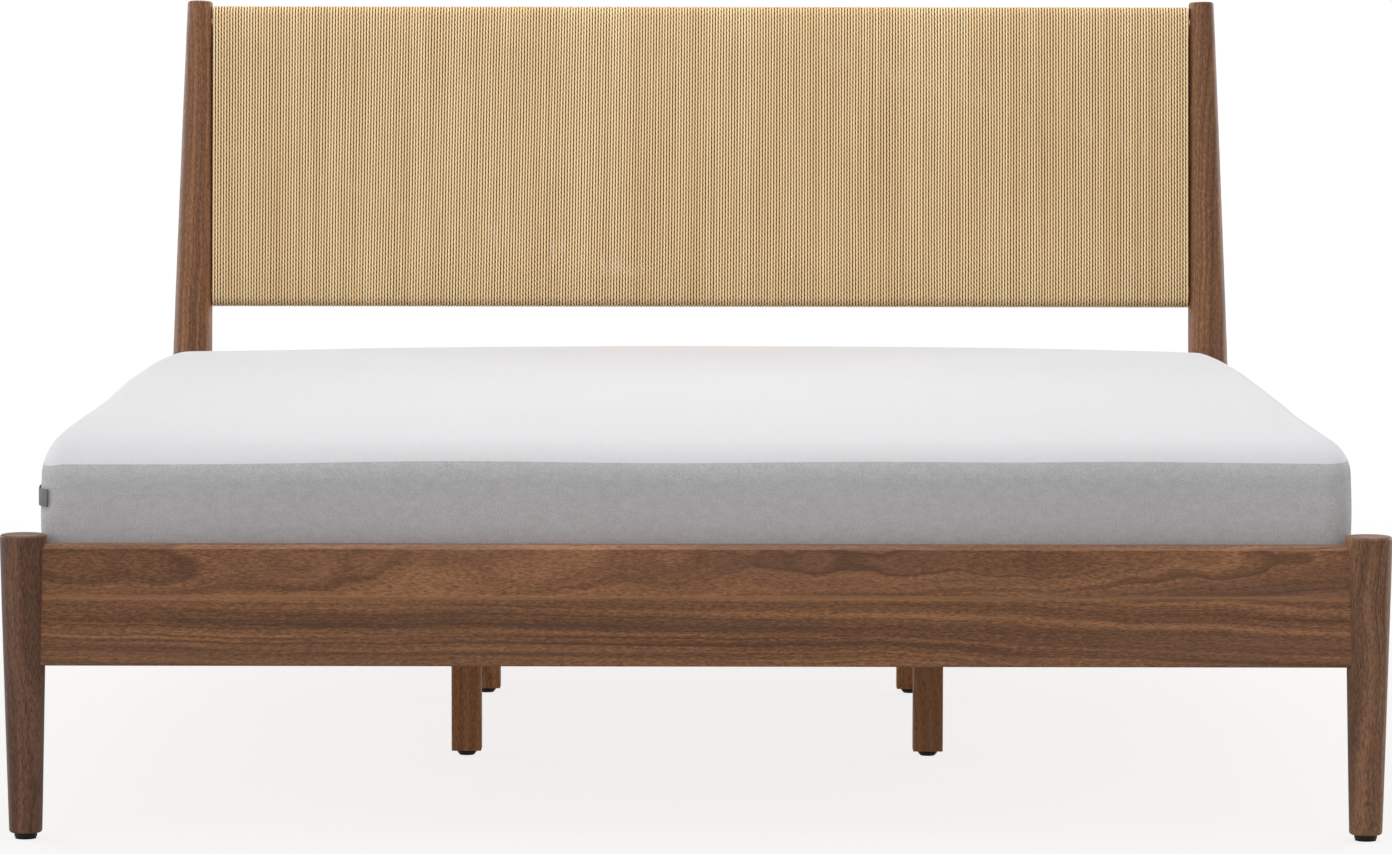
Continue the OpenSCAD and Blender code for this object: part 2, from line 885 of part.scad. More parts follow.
module headboard_brace(side) {
    color(pine)
    in_panel_plane()
        translate([side * brace_x, 0, 0]) {
            translate([-brace_w / 2, -brace_t / 2, brace_low_s])
                cube([brace_w, brace_t, brace_top_s - brace_low_s]);
            translate([0, 0, brace_low_s - brace_pin_l])
                cylinder(h = brace_top_s - brace_low_s + 2 * brace_pin_l, r = brace_pin_d / 2);
        }
}

module headboard_brace_left() { headboard_brace(LEFT); }
module headboard_brace_right() { headboard_brace(RIGHT); }

// The cord's turns lie side by side and make a sheet in front of and behind the two rails.
// Seen from above, each turn is one ridge of the sheet.
cord_pitch = 2 * panel_half_w / cord_turns;
// Where a groove ends, as a share of the pitch
GROOVE_PART = 0.3;
bend_under = 0.1;    // how far the smooth bends lie under the grooves

module cord_sheet_section() {
    polygon(concat(
        [[panel_half_w, -core_t / 2], [-panel_half_w, -core_t / 2]],
        [for (i = [0 : cord_turns - 1])
            for (q = [[0, cord_groove], [GROOVE_PART, 0], [1 - GROOVE_PART, 0]])
                [-panel_half_w + (i + q[0]) * cord_pitch, -panel_t / 2 + q[1]]],
        [[panel_half_w, -panel_t / 2 + cord_groove]]
    ));
}

module cord_bend(s, flip) {
    translate([0, 0, s])
        rotate([0, 90, 0])
            rotate([0, 0, flip ? 0 : 180])
                difference() {
                    cylinder(h = 2 * panel_half_w, r = panel_t / 2 - cord_groove - bend_under, center = true);
                    cylinder(h = 2 * panel_half_w + 2 * cut, r = core_t / 2, center = true);
                    translate([0, -panel_t, -panel_half_w - cut])
                        cube([panel_t, 2 * panel_t, 2 * panel_half_w + 2 * cut]);
                }
}

module cord_winding() {
    color(cord_tan)
    in_panel_plane() {
        for (turn = [0, 180])
            rotate([0, 0, turn])
                translate([0, 0, panel_low_s + panel_t / 2])
                    linear_extrude(panel_top_s - panel_low_s - panel_t)
                        cord_sheet_section();
        cord_bend(panel_low_s + panel_t / 2, false);
        cord_bend(panel_top_s - panel_t / 2, true);
    }
}

// ---- Mattress ----

mattress_half_w = mattress_w / 2;
mattress_half_l = mattress_l / 2;
mattress_mid_y = foot_inner_y + inner_l / 2;
top_edge_z = mattress_h - mattress_crown - mattress_droop;
CROWN_POWER = 2.5;
DROOP_POWER = 3;

// Steps along the long side, the short side and a corner of a ring
LONG_STEPS = 10;
SHORT_STEPS = 8;
CORNER_STEPS = 5;
least_corner_r = 8;

// One quarter of a rounded rectangle, from the middle of the right side to the middle of the back
function quarter(half_w, half_l, r) = concat(
    [for (i = [0 : LONG_STEPS / 2 - 1]) [half_w, (half_l - r) * i * 2 / LONG_STEPS]],
    [for (i = [0 : CORNER_STEPS]) let (a = 90 * i / CORNER_STEPS)
        [half_w - r + r * cos(a), half_l - r + r * sin(a)]],
    [for (i = [SHORT_STEPS / 2 - 1 : -1 : 1]) [(half_w - r) * i * 2 / SHORT_STEPS, half_l]]
);
function turned(points, sx, sy) = [for (p = points) [sx * p[0], sy * p[1]]];
function reversed(points) = [for (i = [len(points) - 1 : -1 : 0]) points[i]];
function without_first(points) = [for (i = [1 : len(points) - 1]) points[i]];
function ring_outline(inset) = let (
        q = quarter(mattress_half_w - inset, mattress_half_l - inset, max(mattress_corner_r - inset, least_corner_r)),
        mid_back = [[0, mattress_half_l - inset]]
    ) concat(
        q, mid_back, reversed(without_first(turned(q, -1, 1))),
        turned(q, -1, -1), turned(mid_back, 1, -1), reversed(without_first(turned(q, 1, -1)))
    );

// How far the top at [x, y] lies above the foot and head edges
function top_lift(x, y) =
    mattress_crown * (1 - pow(abs(x) / mattress_half_w, CROWN_POWER))
    + mattress_droop * (1 - pow(abs(y) / mattress_half_l, DROOP_POWER));

// Rings from below to above: [inset, height, 1 where the ring follows the crown]
low_edge_r = 10;
LOW_RING = 0.08;                             // share of the half width
TOP_RINGS = [0.09, 0.21, 0.38, 0.56, 0.77];  // shares of the half width
LOW_STEPS = 3;
SIDE_STEPS = 5;
TOP_STEPS = 5;
RINGS = concat(
    [[LOW_RING * mattress_half_w, 0, 0]],
    [for (i = [0 : LOW_STEPS]) let (a = 90 * i / LOW_STEPS)
        [low_edge_r * (1 - sin(a)), low_edge_r * (1 - cos(a)), 0]],
    [for (i = [1 : SIDE_STEPS - 1]) let (t = i / SIDE_STEPS)
        [mattress_waist * sin(180 * t), low_edge_r + (top_edge_z - low_edge_r - mattress_edge_r) * t, t]],
    [for (i = [0 : TOP_STEPS]) let (a = 90 * i / TOP_STEPS)
        [mattress_edge_r * (1 - cos(a)), top_edge_z - mattress_edge_r * (1 - sin(a)), 1]],
    [for (share = TOP_RINGS) [share * mattress_half_w, top_edge_z, 1]]
);

function ring_points(ring) = [
    for (p = ring_outline(ring[0]))
        [p[0], p[1], ring[1] + ring[2] * top_lift(p[0], p[1])]
];

module mattress() {
    points = [for (ring = RINGS) each ring_points(ring)];
    n = len(ring_outline(0));
    last = len(RINGS) - 1;
    low_middle = len(points);
    top_middle = low_middle + 1;
    color(foam_white)
    translate([0, mattress_mid_y, mattress_z])
        polyhedron(
            points = concat(points, [[0, 0, 0], [0, 0, top_edge_z + top_lift(0, 0)]]),
            faces = concat(
                [for (i = [0 : n - 1]) [low_middle, i, (i + 1) % n]],
                [for (k = [0 : last - 1], i = [0 : n - 1]) each [
                    [k * n + i, (k + 1) * n + i, k * n + (i + 1) % n],
                    [k * n + (i + 1) % n, (k + 1) * n + i, (k + 1) * n + (i + 1) % n]
                ]],
                [for (i = [0 : n - 1]) [top_middle, last * n + (i + 1) % n, last * n + i]]
            )
        );
}

// The handle strap lies round the left front corner, just under the rolled edge
strap_drop = 8;      // from the rolled edge to the strap
strap_wrap = 18;     // how far the strap reaches round to the foot end
strap_z = mattress_z + top_edge_z - mattress_edge_r - strap_drop - strap_w;

module plan_outline(grow) {
    r = mattress_corner_r + grow;
    half_w = mattress_half_w + grow;
    half_l = mattress_half_l + grow;
    square([2 * (half_w - r), 2 * half_l], center = true);
    square([2 * half_w, 2 * (half_l - r)], center = true);
    for (sx = [LEFT, RIGHT], sy = [LEFT, RIGHT])
        translate([sx * (half_w - r), sy * (half_l - r)])
            circle(r);
}

module mattress_strap() {
    color(strap_grey)
    intersection() {
        translate([0, mattress_mid_y, strap_z])
            linear_extrude(strap_w)
                difference() {
                    plan_outline(rest_gap + strap_t);
                    plan_outline(rest_gap);
                }
        translate([-mattress_half_w - 2 * strap_t, mattress_mid_y - mattress_half_l - 2 * strap_t, strap_z - cut])
            cube([strap_wrap + 2 * strap_t, strap_l, strap_w + 2 * cut]);
    }
}

foot_post_left();
foot_post_right();
head_post_left();
head_post_right();
foot_rail();
head_rail();
side_rail_left();
side_rail_right();
slat_ledge_left();
slat_ledge_right();
centre_beam_left();
centre_beam_right();
beam_hangers();
support_leg_1();
support_leg_2();
support_leg_3();
support_leg_4();
leveller_1();
leveller_2();
leveller_3();
leveller_4();
leveller_inserts();
support_leg_studs();
post_glide_1();
post_glide_2();
post_glide_3();
post_glide_4();
glide_felts();
slat(0);  // slat_01
slat(1);  // slat_02
slat(2);  // slat_03
slat(3);  // slat_04
slat(4);  // slat_05
slat(5);  // slat_06
slat(6);  // slat_07
slat(7);  // slat_08
slat(8);  // slat_09
slat(9);  // slat_10
slat(10);  // slat_11
slat(11);  // slat_12
slat(12);  // slat_13
slat(13);  // slat_14
slat_tape_left();
slat_tape_right();
headboard_top_rail();
headboard_bottom_rail();
headboard_brace_left();
headboard_brace_right();
cord_winding();
rail_studs();
rail_washers();
rail_nuts();
rail_dowels();
ledge_screws();
hanger_screws();
slat_screws();
mattress();
mattress_strap();
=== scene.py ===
"""Looks of a walnut platform bed with a headboard of wound paper cord.

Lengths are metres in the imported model's frame: X runs across the bed, +Y to the head, Z up.
In the finishes, a number that multiplies a coordinate is a noise's rate per metre.
"""

from __future__ import annotations

import logging
import math
from collections.abc import Callable, Iterable, Sequence
from dataclasses import dataclass
from enum import Enum
from functools import cached_property
from typing import Any, Union

import bpy
import numpy as np
from mathutils import Matrix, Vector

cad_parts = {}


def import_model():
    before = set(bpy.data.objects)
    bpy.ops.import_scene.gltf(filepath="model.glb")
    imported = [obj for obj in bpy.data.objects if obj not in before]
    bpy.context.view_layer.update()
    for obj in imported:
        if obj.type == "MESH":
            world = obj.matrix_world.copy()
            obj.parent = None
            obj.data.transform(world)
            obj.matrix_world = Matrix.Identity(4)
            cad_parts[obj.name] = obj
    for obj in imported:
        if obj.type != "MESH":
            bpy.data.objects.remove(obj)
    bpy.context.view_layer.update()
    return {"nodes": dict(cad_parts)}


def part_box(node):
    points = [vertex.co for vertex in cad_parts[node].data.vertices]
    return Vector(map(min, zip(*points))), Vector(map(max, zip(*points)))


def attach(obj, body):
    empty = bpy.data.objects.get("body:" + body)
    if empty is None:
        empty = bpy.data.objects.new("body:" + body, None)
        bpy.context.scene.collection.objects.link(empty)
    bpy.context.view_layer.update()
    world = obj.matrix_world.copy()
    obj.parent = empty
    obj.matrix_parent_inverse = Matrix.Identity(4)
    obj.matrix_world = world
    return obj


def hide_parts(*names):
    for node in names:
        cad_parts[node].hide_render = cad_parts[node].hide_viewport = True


LOG = logging.getLogger("bed")
SLATS = 14
TURN = 2.0 * math.pi
SEEN_WHITE = 1.02  # just over 1, so that the camera sees the background as pure white
Array = np.ndarray
Object = bpy.types.Object
Material = bpy.types.Material
Colour = tuple[float, float, float, float]
Number = Union["Value", float]


def tone(red: float, green: float, blue: float) -> Colour:
    """A colour in linear light, with full alpha."""
    return (red, green, blue, 1.0)


WHITE = tone(1.0, 1.0, 1.0)


# ---- shader graphs


def reckoned(operation: str, swapped: bool = False) -> Callable[..., Value]:
    """A method of Value that adds a Math node; swapped puts the value itself last."""

    def method(self: Value, *others: Number) -> Value:
        return self.graph.math(operation, *((*others, self) if swapped else (self, *others)))

    return method


class Value:
    """A number in a shader, on which arithmetic adds Math nodes."""

    __add__ = reckoned("ADD")
    __radd__ = reckoned("ADD", swapped=True)
    __sub__ = reckoned("SUBTRACT")
    __rsub__ = reckoned("SUBTRACT", swapped=True)
    __mul__ = reckoned("MULTIPLY")
    __rmul__ = reckoned("MULTIPLY", swapped=True)
    __truediv__ = reckoned("DIVIDE")
    sine = reckoned("SINE")
    part = reckoned("FRACT")
    whole = reckoned("FLOOR")
    size = reckoned("ABSOLUTE")
    root = reckoned("SQRT")

    def __init__(self, graph: Graph, socket: bpy.types.NodeSocket) -> None:
        """Wraps a graph's socket that carries a number."""
        self.graph = graph
        self.socket = socket

    def rise(self, low: float, high: float) -> Value:
        """A smooth step, which leaves 0 at low and reaches 1 at high."""
        inputs = {0: self, 1: low, 2: high}
        made = self.graph.node("MapRange", inputs, interpolation_type="SMOOTHSTEP")
        return Value(self.graph, made.outputs[0])


class Graph:
    """A node tree that is written from Python expressions."""

    def __init__(self, tree: bpy.types.NodeTree) -> None:
        """Empties a node tree and writes to it."""
        self.tree = tree
        tree.nodes.clear()

    def node(self, kind: str, inputs: dict[Any, Any] | None = None, **settings: Any) -> bpy.types.Node:
        """Adds a node.

        Args:
            kind: its type, without the prefix.
            inputs: what its sockets get, by name or number: a plain value, a Value, a socket,
                or a node, which stands for its first output.
            settings: its properties.
        """
        made = self.tree.nodes.new("ShaderNode" + kind)
        for name, value in settings.items():
            setattr(made, name, value)
        for name, value in (inputs or {}).items():
            if isinstance(value, bpy.types.Node):
                value = value.outputs[0]
            elif isinstance(value, Value):
                value = value.socket
            if isinstance(value, bpy.types.NodeSocket):
                self.tree.links.new(value, made.inputs[name])
            else:
                made.inputs[name].default_value = value
        return made

    def math(self, operation: str, *operands: Number) -> Value:
        """A Math node's result on one or two numbers."""
        made = self.node("Math", dict(enumerate(operands)), operation=operation)
        return Value(self, made.outputs[0])

    def mix(self, factor: Number, first: Any, second: Any) -> bpy.types.NodeSocket:
        """A mix of two colours, in which factor is the share of the second."""
        return self.node("Mix", {0: factor, 6: first, 7: second}, data_type="RGBA").outputs[2]

    def ramp(self, factor: Value, *stops: tuple[float, Colour]) -> bpy.types.Node:
        """The colour of a ramp at a factor."""
        made = self.node("ValToRGB", {0: factor})
        elements = made.color_ramp.elements
        while len(elements) < len(stops):
            elements.new(1.0)
        for element, (position, colour) in zip(elements, stops):
            element.position = position
            element.color = colour
        return made

    def noise(self, place: Iterable[Number], detail: float = 2.0, roughness: float = 0.5) -> Value:
        """Soft noise round 0.5 at a place of three coordinates."""
        inputs = {
            "Vector": self.node("CombineXYZ", dict(enumerate(place))),
            "Scale": 1.0,
            "Detail": detail,
            "Roughness": roughness,
        }
        return Value(self, self.node("TexNoise", inputs).outputs[0])

    def chance(self, number: Value) -> Value:
        """An even random number from 0 to 1 for each whole number."""
        made = self.node("TexWhiteNoise", {"W": number}, noise_dimensions="1D")
        return Value(self, made.outputs[0])

    def place(self, output: str) -> tuple[Value, ...]:
        """The three coordinates of the Object or the UV output."""
        split = self.node("SeparateXYZ", {0: self.node("TexCoord").outputs[output]})
        return tuple(Value(self, axis) for axis in split.outputs)


class Surface(Graph):
    """A material whose nodes end in a Principled shader."""

    def __init__(self, name: str) -> None:
        """Starts an empty material of that name."""
        self.material = bpy.data.materials.new(name)
        self.material.use_nodes = True
        super().__init__(self.material.node_tree)

    @cached_property
    def axes(self) -> tuple[Value, ...]:
        """The Object coordinates."""
        return self.place("Object")

    def speckle(self, rates: Sequence[float], detail: float = 2.0, roughness: float = 0.5) -> Value:
        """Noise at the Object coordinates, each times its rate."""
        return self.noise((axis * rate for axis, rate in zip(self.axes, rates)), detail, roughness)

    def close(
        self, colour: Any, roughness: Number, height: Value, depth: float, **uniform: Any
    ) -> Material:
        """Adds the relief, the shader and the output.

        Args:
            colour: base colour, a value or a link.
            roughness: a number or a link.
            height: relief from 0 to 1.
            depth: what a height of 1 stands for.
            uniform: values of other sockets, with _ for a space.
        """
        bump = self.node("Bump", {"Height": height, "Distance": depth})
        inputs = {"Base Color": colour, "Roughness": roughness, "Normal": bump}
        inputs.update({name.replace("_", " "): value for name, value in uniform.items()})
        self.node("OutputMaterial", {"Surface": self.node("BsdfPrincipled", inputs)})
        return self.material


# ---- finishes


class Grain(Enum):
    """The axis along which a piece's grain runs."""

    X = 0
    Y = 1
    Z = 2


@dataclass(frozen=True)
class Palette:
    """The tones of a kind of wood, in thousandths of full linear red, green and blue.

    layers run from its darkest to its lightest. line is the tone of the years' ends and the
    pores, and zone that of its slow patches.
    """

    layers: Sequence[Sequence[float]]
    line: Sequence[float]
    zone: Sequence[float]

    def colours(self, tint: Sequence[float]) -> list[Colour]:
        """The tones as colours, with their red, green and blue scaled by a tint."""
        return [tone(*(np.array(one) / 1000 * tint)) for one in (*self.layers, self.line, self.zone)]


WALNUT = Palette(
    ((112, 52, 28), (174, 78, 37), (232, 104, 48), (302, 138, 65), (410, 195, 93)),
    line=(78, 34, 18),
    zone=(175, 92, 62),
)
DARK_WALNUT = Palette(
    ((140, 58, 28), (225, 96, 45), (295, 130, 62), (355, 162, 80), (430, 205, 105)),
    line=(110, 46, 24),
    zone=(230, 110, 66),
)
PINE = Palette(
    ((420, 240, 105), (560, 365, 185), (640, 445, 250), (700, 515, 315), (740, 570, 375)),
    line=(390, 205, 85),
    zone=(600, 420, 250),
)
BEECH = Palette(
    ((480, 310, 180), (560, 380, 235), (610, 430, 275), (650, 475, 315), (690, 520, 360)),
    line=(440, 270, 150),
    zone=(580, 400, 260),
)


@dataclass(frozen=True)
class Board:
    """How a board was cut from its tree, in the plane across the grain.

    The layers follow the distance to the tree's heart, which lies at (first, second) and
    wanders along the grain. A heart close behind a face draws arches on it, a far one streaks.
    """

    first: float
    second: float
    seed: float = 0.0
    taper: float = 0.012
    wander: float = 0.03
    waves: float = 0.004
    swell: float = 0.01

    def cut(self) -> tuple[float, ...]:
        """What may differ above and below a glued seam."""
        return self.first, self.second, self.wander, self.waves, self.swell


@dataclass(frozen=True)
class Timber:
    """Planed and oiled wood, of one board or of two that are glued at the height seam.

    With a pitch, it is a row of boards that begins at start, each cut at its own place.
    """

    name: str
    palette: Palette
    grain: Grain
    board: Board
    lower_board: Board | None = None
    seam: float = 0.283
    pitch: float = 0.0
    start: float = 0.0
    contrast: float = 1.0
    line_share: float = 0.62
    roughness: float = 0.43
    tint: tuple[float, float, float] = (1.0, 1.0, 1.0)
    ring: float = 0.0088
    seam_blend: float = 0.0004

    def material(self) -> Material:
        """Makes the wood.

        The layers are noise along the distance to the heart: broad bands, fine streaks and
        thin dark lines where a year's growth ends. Fibres and pores run along the grain.
        """
        s = Surface(self.name)
        along = s.axes[self.grain.value]
        first, second = (axis for number, axis in enumerate(s.axes) if number != self.grain.value)
        if self.pitch:
            row = (first - self.start) / self.pitch
            number = row.whole()
            first = (row - number - 0.5) * self.pitch
            second = second + (s.chance(number) - 0.5) * 0.3
            along = along + s.chance(number + 40.0) * 7.0
        along = along + self.board.seed
        cut: Sequence[Number] = self.board.cut()
        if self.lower_board is not None:
            upper = second.rise(self.seam - self.seam_blend, self.seam + self.seam_blend)
            cut = [low + upper * (high - low) for low, high in zip(self.lower_board.cut(), cut)]
            along = along + upper * 3.7
        heart_first, heart_second, wander, waves, swell = cut
        # The heart's drift, the waves that fold the layers here and there, and the distance
        drift = s.noise((first * 2, second * 3, along * 0.9), 1) - 0.5
        drift_up = s.noise((first * 2 + 9, second * 3, along * 0.8), 1) - 0.5
        where = s.noise((first + 3, second * 4, along * 1.3), 1).rise(0.38, 0.72)
        wave = s.noise((first * 5, second * 9, along * 8.5), 2, 0.45) - 0.5
        bump = s.noise((first * 3 + 5, second * 7, along * 6.5)) - 0.5
        away = first - heart_first + drift * wander + bump * swell * (1.5 + where * 5.0)
        up = second - heart_second + drift_up * wander + wave * where * waves * 6.0
        ripple = s.noise((first * 30, second * 90, along * 34), 1) - 0.5
        distance = (away * away + up * up).root() + along * self.board.taper + ripple * 0.0014
        # Bands, streaks and fibres
        broad = s.noise((distance * 62, along * 0.55, 1.7), 2, 0.55)
        fine = s.noise((distance * 260, along * 2.4, 4.1), 3, 0.6)
        fibre = s.noise((first * 560, second * 560, along * 150), 2, 0.7)
        level = 0.5 + (broad - 0.5) * (1.3 * self.contrast) + (fine - 0.5) * (0.85 * self.contrast)
        level = level + (fibre - 0.5) * 1.2
        *layers, end, patch = self.palette.colours(self.tint)
        colour: Any = s.ramp(level, *zip((0.16, 0.36, 0.5, 0.66, 0.86), layers))
        # Slow patches, the years' ends, the pores and the glow along the seam
        zone = s.noise((first * 6, second * 12, along * 1.6)).rise(0.5, 0.74)
        colour = s.mix(zone * 0.45, colour, patch)
        year = (distance / self.ring + broad * 2.2).part()
        line = year.rise(0.76, 0.955) * (1.0 - year.rise(0.965, 1.0))
        faint = s.noise((distance * 34, along * 1.6, 8.8), 2, 0.6).rise(0.4, 0.62)
        colour = s.mix(line * faint * self.line_share, colour, end)
        pores = s.noise((first * 900, second * 900, along * 120), 1).rise(0.6, 0.7)
        colour = s.mix(pores * 0.7, colour, end)
        if self.lower_board is not None:
            off = (second - self.seam).size()
            glow = s.noise((along * 3, 2, 5)).rise(0.3, 0.58)
            colour = s.mix((1.0 - off.rise(0.001, 0.0048)) * glow * 0.55, colour, layers[-1])
        relief = 0.6 - line * 0.2 - pores * 0.5 + fibre * 0.25
        rough = self.roughness + fibre * 0.12 - line * 0.05
        return s.close(colour, rough, relief, 0.00022, Specular_IOR_Level=0.25)


@dataclass(frozen=True)
class PaperCord:
    """Kraft paper twisted into a cord of three plies."""

    name: str = "paper_cord"
    strand_pitch: float = 0.0043
    plies: float = 3.0

    def material(self) -> Material:
        """Makes the paper.

        U is the length along the cord in lays and V the way round it, so plies x V + U turns
        once from ply to ply. Shade is painted into the creases between plies and onto the flanks,
        where neighbouring turns shade them, so the plies' crowns stay light. V
        is 0 on the side that faces out of the panel and 0.25 or 0.75 on the flanks.
        """
        s = Surface(self.name)
        u, v, _ = s.place("UV")
        ply = (v * self.plies + u).part()
        crest = ply * (1.0 - ply) * 4.0
        crease = 1.0 - crest.rise(0.0, 0.75)
        flank = ((v + 0.25).part() - 0.25).size().rise(0.045, 0.165)
        strand = s.chance((s.axes[0] / self.strand_pitch).whole())
        patch = s.speckle((5, 5, 2.2))
        wrinkle = s.noise((u * 2.6, v * 21, strand * 50), 3, 0.6)
        level = 0.5 + (strand - 0.5) * 0.24 + (patch - 0.5) * 0.4 + (wrinkle - 0.5) * 0.6
        colour = s.ramp(
            level,
            (0.12, tone(0.69, 0.465, 0.235)),
            (0.4, tone(0.86, 0.61, 0.33)),
            (0.62, tone(0.94, 0.71, 0.41)),
            (0.9, tone(0.96, 0.79, 0.52)),
        )
        # Painted shade: the creases between plies and the flanks, where neighbouring turns shade each
        # other, are mixed towards dark brown, most where both meet.
        shade = crease * 0.38 + flank * 0.72 + crease * flank * 1.8
        colour = s.mix(shade.rise(0.0, 1.15), colour, tone(0.085, 0.04, 0.014))
        relief = crest.root() * 0.8 + wrinkle * 0.2
        return s.close(colour, 0.66 + wrinkle * 0.2, relief, 0.001, Specular_IOR_Level=0.15)


@dataclass(frozen=True)
class Knit:
    """A fine knitted mattress cover, plain or heathered."""

    name: str
    light: Colour
    shade: Colour
    heather: float
    loop: float = 0.0016

    def material(self) -> Material:
        """Makes the knit.

        Rows of loops are the product of two sines a loop apart along X + Y and along Z, worn
        uneven by noise. Heather is yarn of a second tone in short level flecks.
        """
        s = Surface(self.name)
        x, y, z = s.axes
        turn = TURN / self.loop
        bend = s.speckle((60, 60, 60), 1) * 1.5
        rows = ((x + y) * turn + bend).sine() * ((z + (x - y) * 0.5) * turn * 0.8 + bend).sine()
        fleck = s.speckle((420, 420, 800), 2, 0.65)
        blotch = s.speckle((70, 70, 130), 3, 0.6)
        slow = s.speckle((3, 3, 3))
        level = (fleck - 0.5) * 2.2 + (blotch - 0.5) * 0.8 + (slow - 0.5) * 0.3
        colour = s.mix((0.5 + level * self.heather).rise(0.0, 1.0), self.shade, self.light)
        relief = 0.5 + rows * 0.3 + (fleck - 0.5) * 0.5 + (blotch - 0.5) * 0.6
        sheen = {"Sheen_Weight": 0.12, "Sheen_Roughness": 0.5}
        return s.close(colour, 0.9, relief, 0.00045, Specular_IOR_Level=0.2, **sheen)


@dataclass(frozen=True)
class Webbing:
    """A woven tape. U runs along it in metres and V across it in metres."""

    name: str
    light: Colour
    dark: Colour
    rib: float = 0.0022
    fold: float = 0.006

    def material(self) -> Material:
        """Makes the weave: ribs in a herringbone, whose phase is U plus the distance to a fold."""
        s = Surface(self.name)
        u, v, _ = s.place("UV")
        off = ((v / self.fold).part() - 0.5).size() * self.fold
        ribs = ((u + off * 2.0) * (TURN / self.rib)).sine() * 0.5 + 0.5
        yarn = s.noise((u * 2600, v * 2600, 0))
        worn = s.noise((u * 60, v * 60, 3))
        share = (ribs * 0.6 + yarn * 0.5 + worn * 0.3 - 0.2).rise(0.0, 1.0)
        colour = s.mix(share, self.dark, self.light)
        return s.close(colour, 0.82, ribs * 0.7 + yarn * 0.3, 0.0004, Specular_IOR_Level=0.25)


@dataclass(frozen=True)
class PlatedSteel:
    """Zinc plated steel with the spangle and the fine scratches of plating."""

    name: str = "zinc_steel"

    def material(self) -> Material:
        """Makes the plating: noise for the spangle, stretched noise for the scratches."""
        s = Surface(self.name)
        spangle = s.speckle((180, 180, 180), 3, 0.6)
        scratch = s.speckle((2400, 160, 900))
        colour = s.ramp(spangle, (0.3, tone(0.42, 0.43, 0.45)), (0.7, tone(0.66, 0.67, 0.68)))
        rough = 0.26 + spangle * 0.18 + scratch * 0.08
        return s.close(colour, rough, scratch * 0.5 + spangle * 0.5, 0.00005, Metallic=1.0)


@dataclass(frozen=True)
class Moulded:
    """Moulded nylon with a matt, slightly scuffed skin."""

    name: str
    colour: Colour
    scuffed: Colour

    def material(self) -> Material:
        """Makes the plastic: fine noise for the matt skin, slow noise for the scuffs."""
        s = Surface(self.name)
        skin = s.speckle((1800, 1800, 1800))
        scuff = s.speckle((120, 120, 300), 3, 0.65).rise(0.52, 0.78)
        colour = s.mix(scuff * 0.5, self.colour, self.scuffed)
        return s.close(colour, 0.5 + scuff * 0.2, skin, 0.00005, Specular_IOR_Level=0.25)


@dataclass(frozen=True)
class Felt:
    """Pressed black felt."""

    name: str = "felt"

    def material(self) -> Material:
        """Makes the felt of matted fibres."""
        s = Surface(self.name)
        mat = s.speckle((900, 900, 900), 4, 0.7)
        colour = s.ramp(mat, (0.3, tone(0.004, 0.004, 0.004)), (0.75, tone(0.02, 0.02, 0.021)))
        return s.close(colour, 0.95, mat, 0.0006, Specular_IOR_Level=0.15, Sheen_Weight=0.2)


Finish = Union[Timber, PaperCord, Knit, Webbing, PlatedSteel, Moulded, Felt]


# ---- meshes


@dataclass
class Shape:
    """Vertices, blocks of faces, UV places of their corners, and each face's material."""

    vertices: Array
    faces: list[Array]
    corners: Sequence[Array] = ()
    parts: Array | None = None

    def turned_out(self) -> Shape:
        """The shape with its faces outward, judged by its signed volume."""
        volume = 0.0
        for block in self.faces:
            p = self.vertices[block]
            for k in range(1, block.shape[1] - 1):
                volume += np.einsum("ij,ij->", p[:, 0], np.cross(p[:, k], p[:, k + 1]))
        if volume >= 0:
            return self
        faces, corners = ([block[:, ::-1] for block in blocks] for blocks in (self.faces, self.corners))
        return Shape(self.vertices, faces, corners, self.parts)


def grid_faces(rows: int, columns: int, closed: bool) -> Array:
    """Quads between a grid's rows and columns; closed joins its last column to its first."""
    r, c = np.meshgrid(np.arange(rows - 1), np.arange(columns if closed else columns - 1), indexing="ij")
    after = (c + 1) % columns
    here, above = r * columns, (r + 1) * columns
    return np.stack([here + c, here + after, above + after, above + c]).reshape(4, -1).T


def way_along(path: Array) -> Array:
    """The length of a path up to each of its points."""
    return np.concatenate([[0.0], np.cumsum(np.linalg.norm(np.diff(path, axis=0), axis=1))])


def sweep(
    path: Array,
    axes: tuple[Array, Array],
    profile: Array,
    scale: Array,
    lengths: tuple[Array, Array],
) -> Shape:
    """Carries a closed profile along a path, with a fan of faces as a cap at each end.

    Args:
        path: the path's points.
        axes: the directions of the profile's first and second axis at each of them.
        profile: points round the section.
        scale: the section's size at each point of the path.
        lengths: U at each point of the path, and V at each point of the profile, with one
            more for the way back to its first.
    """
    count, sides = len(path), len(profile)
    side, lift = axes
    flat = profile[None, :, :1] * side[:, None] + profile[None, :, 1:] * lift[:, None]
    rings = path[:, None] + scale[:, None, None] * flat
    vertices = np.concatenate([rings.reshape(-1, 3), path[:1], path[-1:]])
    here = np.arange(sides)
    after = (here + 1) % sides
    last = (count - 1) * sides
    first_cap = np.stack([after, here, np.full(sides, count * sides)], 1)
    last_cap = np.stack([last + here, last + after, np.full(sides, count * sides + 1)], 1)
    u, v = lengths
    r, c = np.meshgrid(np.arange(count - 1), here, indexing="ij")
    body = np.stack([u[r], v[c], u[r], v[c + 1], u[r + 1], v[c + 1], u[r + 1], v[c]], -1)
    caps = np.zeros((2 * sides, 3, 2))
    caps[:sides, :, 0] = u[0]
    caps[sides:, :, 0] = u[-1]
    faces = [grid_faces(count, sides, True), np.concatenate([first_cap, last_cap])]
    return Shape(vertices, faces, [body.reshape(-1, 4, 2), caps])


